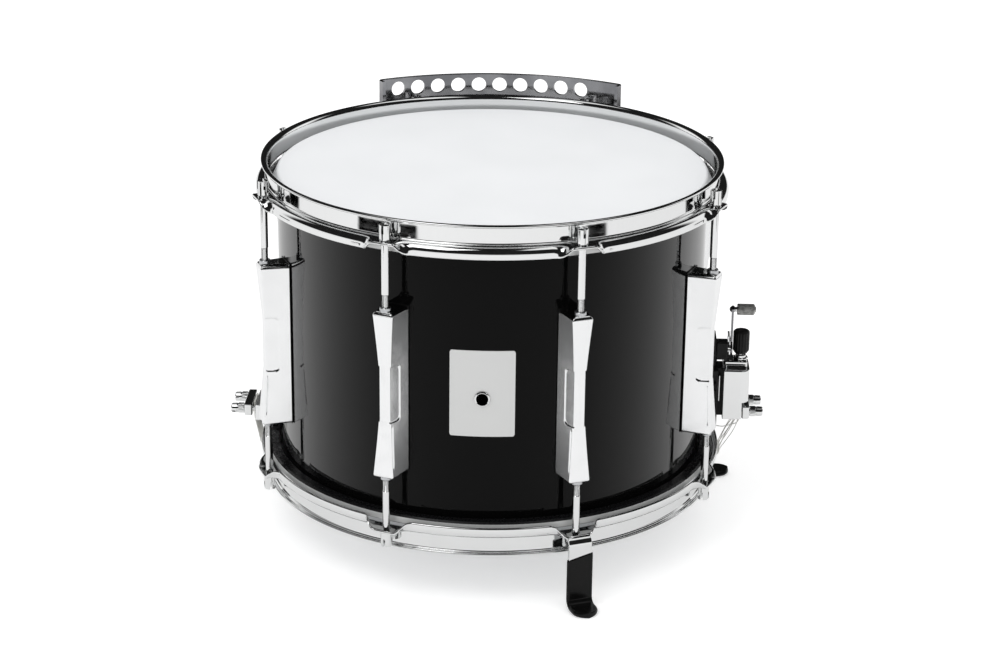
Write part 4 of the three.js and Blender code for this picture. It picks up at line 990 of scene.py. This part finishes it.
def add_knob():
    shoulder = SEAT_TOP + 2 * FIT + 7.3
    low = shoulder - 2.2
    top = shoulder + 17.9
    teeth = 16
    profile = [(2.9, low + 12, 0), (2.9, low, 0), (5.2, low, 0), (5.5, low + 0.3, 0)]
    profile += [(5.5, shoulder - 1.6, 0), (5.9, shoulder - 0.9, 0), (6.6, shoulder - 0.2, 0.5)]
    profile += [(6.9, shoulder + 0.6, 1), (6.9, top - 2.6, 1)]
    profile += [(r, z, 0.7 - 0.1 * i) for i, (r, z) in enumerate(arc(4.7, top - 2.2, 2.2, 10, 90, 7))]
    profile += [(2.4, top, 0), (0, top, 0)]
    knob = fluted(profile, 128, lambda turn: 0.42 * abs(math.cos(turn * teeth / 2)) ** 6)
    knob = moved(filled(knob), shift(x=KNOB_R))
    add("ribbed_knob", knob, "plastic", "tension_knob", "tension_knob")
    end = PLATE_TOP + 5.2
    collar = SEAT_TOP + FIT
    profile = [(0, end), (2.2, end)]
    z = end + 0.5
    while z < SEAT_TOP - 1.2:
        profile += [(2.5, z), (2.5, z + 0.12), (2.15, z + 0.4), (2.15, z + 0.48)]
        z += 0.8
    profile += [(2.5, SEAT_TOP - 0.5), (2.5, collar), (5.8, collar), (6.2, collar + 0.4)]
    profile += [(6.2, collar + 1.3), (5.7, collar + 1.8), (4.6, collar + 2), (4.4, collar + 3.4)]
    profile += [(2.5, collar + 3.6), (2.5, collar + 15.5), (0, collar + 15.5)]
    spindle = moved(lathe(profile, 40), shift(x=KNOB_R))
    add("knob_spindle", spindle, "chrome", "tension_spindle", "tension_knob")


def make_thumb(face, end):
    """A slotted thumbscrew with a straight knurl at the foot of its head."""
    near = face + FIT
    far = near + 11
    profile = [(0, end, 0), (1.5, end, 0), (1.8, end + 0.4, 0), (1.8, near, 0), (4, near, 0)]
    profile += [(4.4, near + 0.4, 0), (4.4, near + 0.5, 1), (4.4, near + 4.6, 1)]
    profile += [(4.3, near + 4.9, 0), (3.9, near + 5.2, 0)]
    profile += [(3.9, near + 5.9, 0), (4.2, near + 6.2, 0), (3.95, far - 0.7, 0), (3.4, far, 0), (0, far, 0)]
    teeth = 30
    screw = fluted(profile, 120, lambda turn: 0.11 * (1 + math.cos(turn * teeth)))
    screw = carve(screw, box(-5, 5, -0.75, 0.75, far - 3.5, far + 1))
    return moved(screw, turn_about("Y", 90))


def clamp_plate(near, thick, low, high):
    plate = soften(prism(rounded(near, near + thick, -18, 18, 1.4), low, high), 0.5, 3, 50)
    return carve(plate, thumb_bores((low + high) / 2, near - 1, near + thick + 1))


def thumb_bores(z, near, far):
    return merge(*[disc(side * THUMB_Y, z, 2.1, near, far) for side in (-1, 1)])


def add_clamps():
    plate = clamp_plate(PLATE_NEAR, 6.5, PLATE_TOP - 10.6, PLATE_TOP)
    add("clamp_bar", plate, "chrome", "clamp_plate", "strand_clamp")
    near, thick = BUTT_FACE + 2.4, 6.9
    body = soften(prism(on_shell(18, BUTT_FACE, 1.2), BUTT_FLOOR, BUTT_TOP), 0.9, 3, 50)
    relief = []
    for side in (-1, 1):
        outline = [(BUTT_FACE - 9, side * 19), (BUTT_FACE - 4, side * 17.2), (BASE_NEAR + 4, side * 19)]
        relief.append(prism(outline, BUTT_FLOOR - 1, BUTT_TOP + 1))
    body = carve(body, *relief, thumb_bores(BUTT_THUMB_Z, BUTT_FACE - 6, BUTT_FACE + 1))
    add("butt_casting", body, "cast", "butt_block", angle=-90)
    bar = clamp_plate(near, thick, BUTT_TOP - 9.6, BUTT_TOP)
    add("butt_bar", bar, "chrome", "butt_plate", angle=-90)
    clamp_thumb = make_thumb(PLATE_FAR, SLOT_NEAR - 6)
    butt_thumb = make_thumb(near + thick, BUTT_FACE - 5.4)
    for name, side in (("front", -1), ("rear", 1)):
        for clamp, thumb, y, z, slot_turn, angle in (
            ("clamp", clamp_thumb, side * THUMB_Y, THUMB_Z, 14 * side, 90),
            ("butt", butt_thumb, -side * THUMB_Y, BUTT_THUMB_Z, 80 + 20 * side, -90),
        ):
            screw = moved(thumb.copy(), shift(0, y, z) @ turn_about("X", slot_turn))
            node = f"{clamp}_screw_{name}"
            add(f"{clamp}_thumb_{name}", screw, "chrome", node, node, angle)


# The snare strands.

def smooth_route(points, radius, steps=5):
    """Rounds a route's corners."""
    route = [Vector(points[0])]
    for before, here, after in zip(points, points[1:], points[2:]):
        before, here, after = Vector(before), Vector(here), Vector(after)
        one, two = before - here, after - here
        reach = min(radius, one.length * 0.45, two.length * 0.45)
        start, end = here + one.normalized() * reach, here + two.normalized() * reach
        for i in range(steps + 1):
            t = i / steps
            route.append(start * (1 - t) ** 2 + here * 2 * t * (1 - t) + end * t * t)
    route.append(Vector(points[-1]))
    return route


def strand_mesh(points, radius=0.6, sides=10, slack=0):
    """Six strands side by side. Slack bows them apart between their ends."""
    parts = []
    for index in range(6):
        bow = slack * (1, -0.7, 0.35, -1, 0.7, -0.3)[index]
        middle = (Vector(points[0]) + Vector(points[1])) / 2 + Vector((bow, bow * 0.6))
        route = smooth_route([points[0], middle, *points[1:]] if slack else points, 14 if slack else 1.6)
        y = (index - 2.5) * 3.9
        rings = []
        for i, point in enumerate(route):
            before, after = route[max(i - 1, 0)], route[min(i + 1, len(route) - 1)]
            along = (after - before).normalized()
            ring = []
            for k in range(sides):
                turn = 2 * math.pi * k / sides
                up = radius * math.sin(turn)
                ring.append((point.x - along.y * up, y + radius * math.cos(turn), point.y + along.x * up))
            rings.append(ring)
        parts.append(skin(rings))
    return parts


def add_strands():
    corner_x, corner_z = FLANGE_R + 1.2, -LEDGE_Z + SHEET / 2
    butt_x = -(BUTT_FACE + 1.2)
    bed = -HEAD_Z - FIT - 0.6
    gate = (WALL_OUT + WALL_IN + LIP_REACH) / 2
    route = [(butt_x, -88), (butt_x, -97), (-corner_x, corner_z), (-corner_x + FIT, -LEDGE_Z - SHEET / 2)]
    route += [(-gate, bed), (gate, bed), (corner_x - FIT, -LEDGE_Z - SHEET / 2), (corner_x, corner_z)]
    parts = strand_mesh(route)
    parts.append(soften(box(butt_x - 0.7, butt_x + 0.7, -10.25, 10.25, -88.3, -83.3), 0.2))
    add("strand_bed", merge(*parts), "gut", "snare_strands")
    up = SLOT_NEAR + 1.2
    low = corner_z + FIT
    parts = strand_mesh([(corner_x, low), (up, BOX_FLOOR + 1.2), (up, PLATE_TOP - 7.5)], 0.36, slack=4)
    parts.append(soften(box(up - 0.7, up + 0.7, -10.25, 10.25, PLATE_TOP - 10, PLATE_TOP - 5), 0.2))
    run = add("strand_run", merge(*parts), "gut", "strainer_strands")
    curl = smooth_route([(up, BOX_FLOOR + 3), (up - 0.5, -92.5), (198, -96.5), (192.6, -95.8)], 4, 8)
    rings = []
    for i, point in enumerate(curl):
        turn = math.atan2(*(curl[min(i + 1, len(curl) - 1)] - curl[max(i - 1, 0)]))
        x, y = math.cos(turn), -math.sin(turn)
        ring = circle(0, 0, 0.42, 8)
        rings.append([(point.x + a * x, b - 8.5, point.y + a * y) for a, b in ring])
    add("strand_end", skin(rings), "gut", body="strand_clamp")
    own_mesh(run)


add_shell()
add_head("batter", 1)
add_head("snare", -1)
add_hoops()
add_lugs()
add_badge()
add_rail()
add_feet()
add_base()
add_pivot()
add_lever()
add_carriage()
add_knob()
add_clamps()
add_strands()
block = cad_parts["clamp_block"].data.materials
block.clear()
block.append(FINISH["steel"])


# The studio.

# Painted dark reflections: patches of the floor blackened for mirrored rays only, so that metal and lacquer
# show dark stripes. Azimuth from the badge towards the strainer, half width in degrees, and nearest distance
# from the drum's middle in metres.
PAINTED_DARK_FAR = 1.35
PAINTED_DARKS = (
    (-47, 14, 1.052),
    (50.5, 4, 1.052),
    (-107, 3.5, 1.03),
    (110.5, 2.5, 1.03),
    (124.5, 2.5, 1.02),
)


def directions(tree, coordinates):
    place = tree.nodes.new("ShaderNodeTexCoord")
    parts = tree.nodes.new("ShaderNodeSeparateXYZ")
    tree.links.new(place.outputs[coordinates], parts.inputs["Vector"])
    return [parts.outputs[axis] for axis in "XYZ"]


def paint_dark_reflections(tree, mirrored):
    """Paints dark reflections: blackens the floor's colour in the listed patches, for mirrored rays only."""
    calc = partial(math_node, tree)
    x, y, _ = directions(tree, "Object")
    reach = calc("SQRT", calc("ADD", calc("MULTIPLY", x, x), calc("MULTIPLY", y, y)))
    within = calc("SUBTRACT", 1, map_range(tree, reach, PAINTED_DARK_FAR - 0.03, PAINTED_DARK_FAR + 0.03))
    dark = None
    for azimuth, half, near in PAINTED_DARKS:
        turn = math.radians(azimuth)
        along = calc("ADD", calc("MULTIPLY", x, math.sin(turn)), calc("MULTIPLY", y, -math.cos(turn)))
        edges = math.cos(math.radians(half + 2)), math.cos(math.radians(half))
        inside = map_range(tree, calc("DIVIDE", along, reach), *edges)
        beyond = map_range(tree, reach, near - 0.01, near + 0.01)
        # A painted dark reflection: this patch is black only where mirrored rays see it.
        painted_patch = calc("MULTIPLY", calc("MULTIPLY", inside, beyond), within)
        dark = painted_patch if dark is None else calc("MAXIMUM", dark, painted_patch)
    keep = calc("SUBTRACT", 1, calc("MULTIPLY", dark, mirrored))
    shader = tree.nodes["Principled BSDF"]
    colour = shader.inputs["Base Color"].links[0].from_socket
    scale = tree.nodes.new("ShaderNodeVectorMath")
    scale.operation = "SCALE"
    tree.links.new(colour, scale.inputs[0])
    tree.links.new(keep, scale.inputs["Scale"])
    tree.links.new(scale.outputs["Vector"], shader.inputs["Base Color"])


def add_studio():
    bm = bmesh.new()
    size = 3.0
    for x, y in ((-size, -size), (size, -size), (size, size), (-size, size)):
        bm.verts.new((x, y, 0))
    bm.faces.new(bm.verts)
    mesh = bpy.data.meshes.new("floor")
    bm.to_mesh(mesh)
    bm.free()
    floor = bpy.data.objects.new("floor", mesh)
    floor.location.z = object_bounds()[0][2]
    bpy.context.scene.collection.objects.link(floor)
    tint = (30, 3, (0.94, 0.94, 0.94), (0.96, 0.96, 0.96))
    white = finish("floor_white", (0.95, 0.95, 0.95), 0.0, 0.8, tint=tint)
    tree = white.node_tree
    shader = tree.nodes["Principled BSDF"]
    shader.inputs["Specular IOR Level"].default_value = 0
    path = tree.nodes.new("ShaderNodeLightPath")
    # Painted dark reflections: the floor is blackened at the patches for mirrored rays only.
    paint_dark_reflections(tree, path.outputs["Is Glossy Ray"])
    shader.inputs["Emission Color"].default_value = (1, 1, 1, 1)
    glow = math_node(tree, "MULTIPLY", path.outputs["Is Camera Ray"], 0.3)
    tree.links.new(glow, shader.inputs["Emission Strength"])
    mesh.materials.append(white)


def add_lamp(name, place, size, power):
    lamp = bpy.data.lights.new(name, "AREA")
    lamp.size = size
    lamp.energy = power
    obj = bpy.data.objects.new(name, lamp)
    aim = (-Vector(place)).to_track_quat("-Z", "Y").to_matrix().to_4x4()
    obj.matrix_world = Matrix.Translation(place) @ aim
    bpy.context.scene.collection.objects.link(obj)


def add_world():
    """White to the camera, plain white light, and softboxes with dark gaps for the metal to show."""
    world = bpy.data.worlds.new("world")
    bpy.context.scene.world = world
    world.use_nodes = True
    tree = world.node_tree
    calc = partial(math_node, tree)

    def mix(factor, one, two):
        node = tree.nodes.new("ShaderNodeMix")
        node.data_type = "FLOAT"
        for name, value in (("Factor", factor), ("A", one), ("B", two)):
            feed(tree, node.inputs[name], value)
        return node.outputs["Result"]

    x, y, z = directions(tree, "Generated")
    low = map_range(tree, z, -0.02, 0.06, 1.0, 0.0)
    across = calc("ABSOLUTE", x)
    overhead = calc(
        "MULTIPLY", map_range(tree, across, 0.16, 0.24), map_range(tree, across, 0.38, 0.48, 1.0, 0.0)
    )
    overhead = calc("MULTIPLY", map_range(tree, z, 0.8, 0.86), overhead)
    side = calc("MULTIPLY", map_range(tree, across, 0.6, 0.7), map_range(tree, z, 0.6, 0.68, 1.0, 0.0))
    side = calc("MULTIPLY", side, map_range(tree, y, 0.25, 0.45))
    panels = calc("MAXIMUM", calc("MAXIMUM", low, overhead), side)
    shown = calc("ADD", calc("MULTIPLY", panels, 0.988), 0.012)
    light = tree.nodes.new("ShaderNodeLightPath")
    mirrored = calc("MAXIMUM", light.outputs["Is Glossy Ray"], light.outputs["Is Transmission Ray"])
    level = mix(light.outputs["Is Camera Ray"], mix(mirrored, 0.96, shown), 1.0)
    background = tree.nodes["Background"]
    background.inputs["Color"].default_value = (1, 1, 1, 1)
    tree.links.new(level, background.inputs["Strength"])


def add_camera():
    data = bpy.data.cameras.new("camera")
    data.lens = 89.97
    data.sensor_width = 36
    data.clip_end = 50
    camera = bpy.data.objects.new("camera", data)
    bpy.context.scene.collection.objects.link(camera)
    right = Vector((0.99934, 0.03454, 0.01110))
    forward = Vector((-0.02846, 0.93599, -0.35087))
    axes = Matrix((right, right.cross(forward), -forward)).transposed().to_4x4()
    camera.matrix_world = Matrix.Translation((0.06775, -1.9726, 0.7199 + MIDDLE)) @ axes
    bpy.context.scene.camera = camera


add_world()
add_lamp("softbox", (-0.9, -1.2, 1.9), 1.2, 9)
add_studio()
add_camera()
bpy.context.scene.view_settings.view_transform = "Standard"
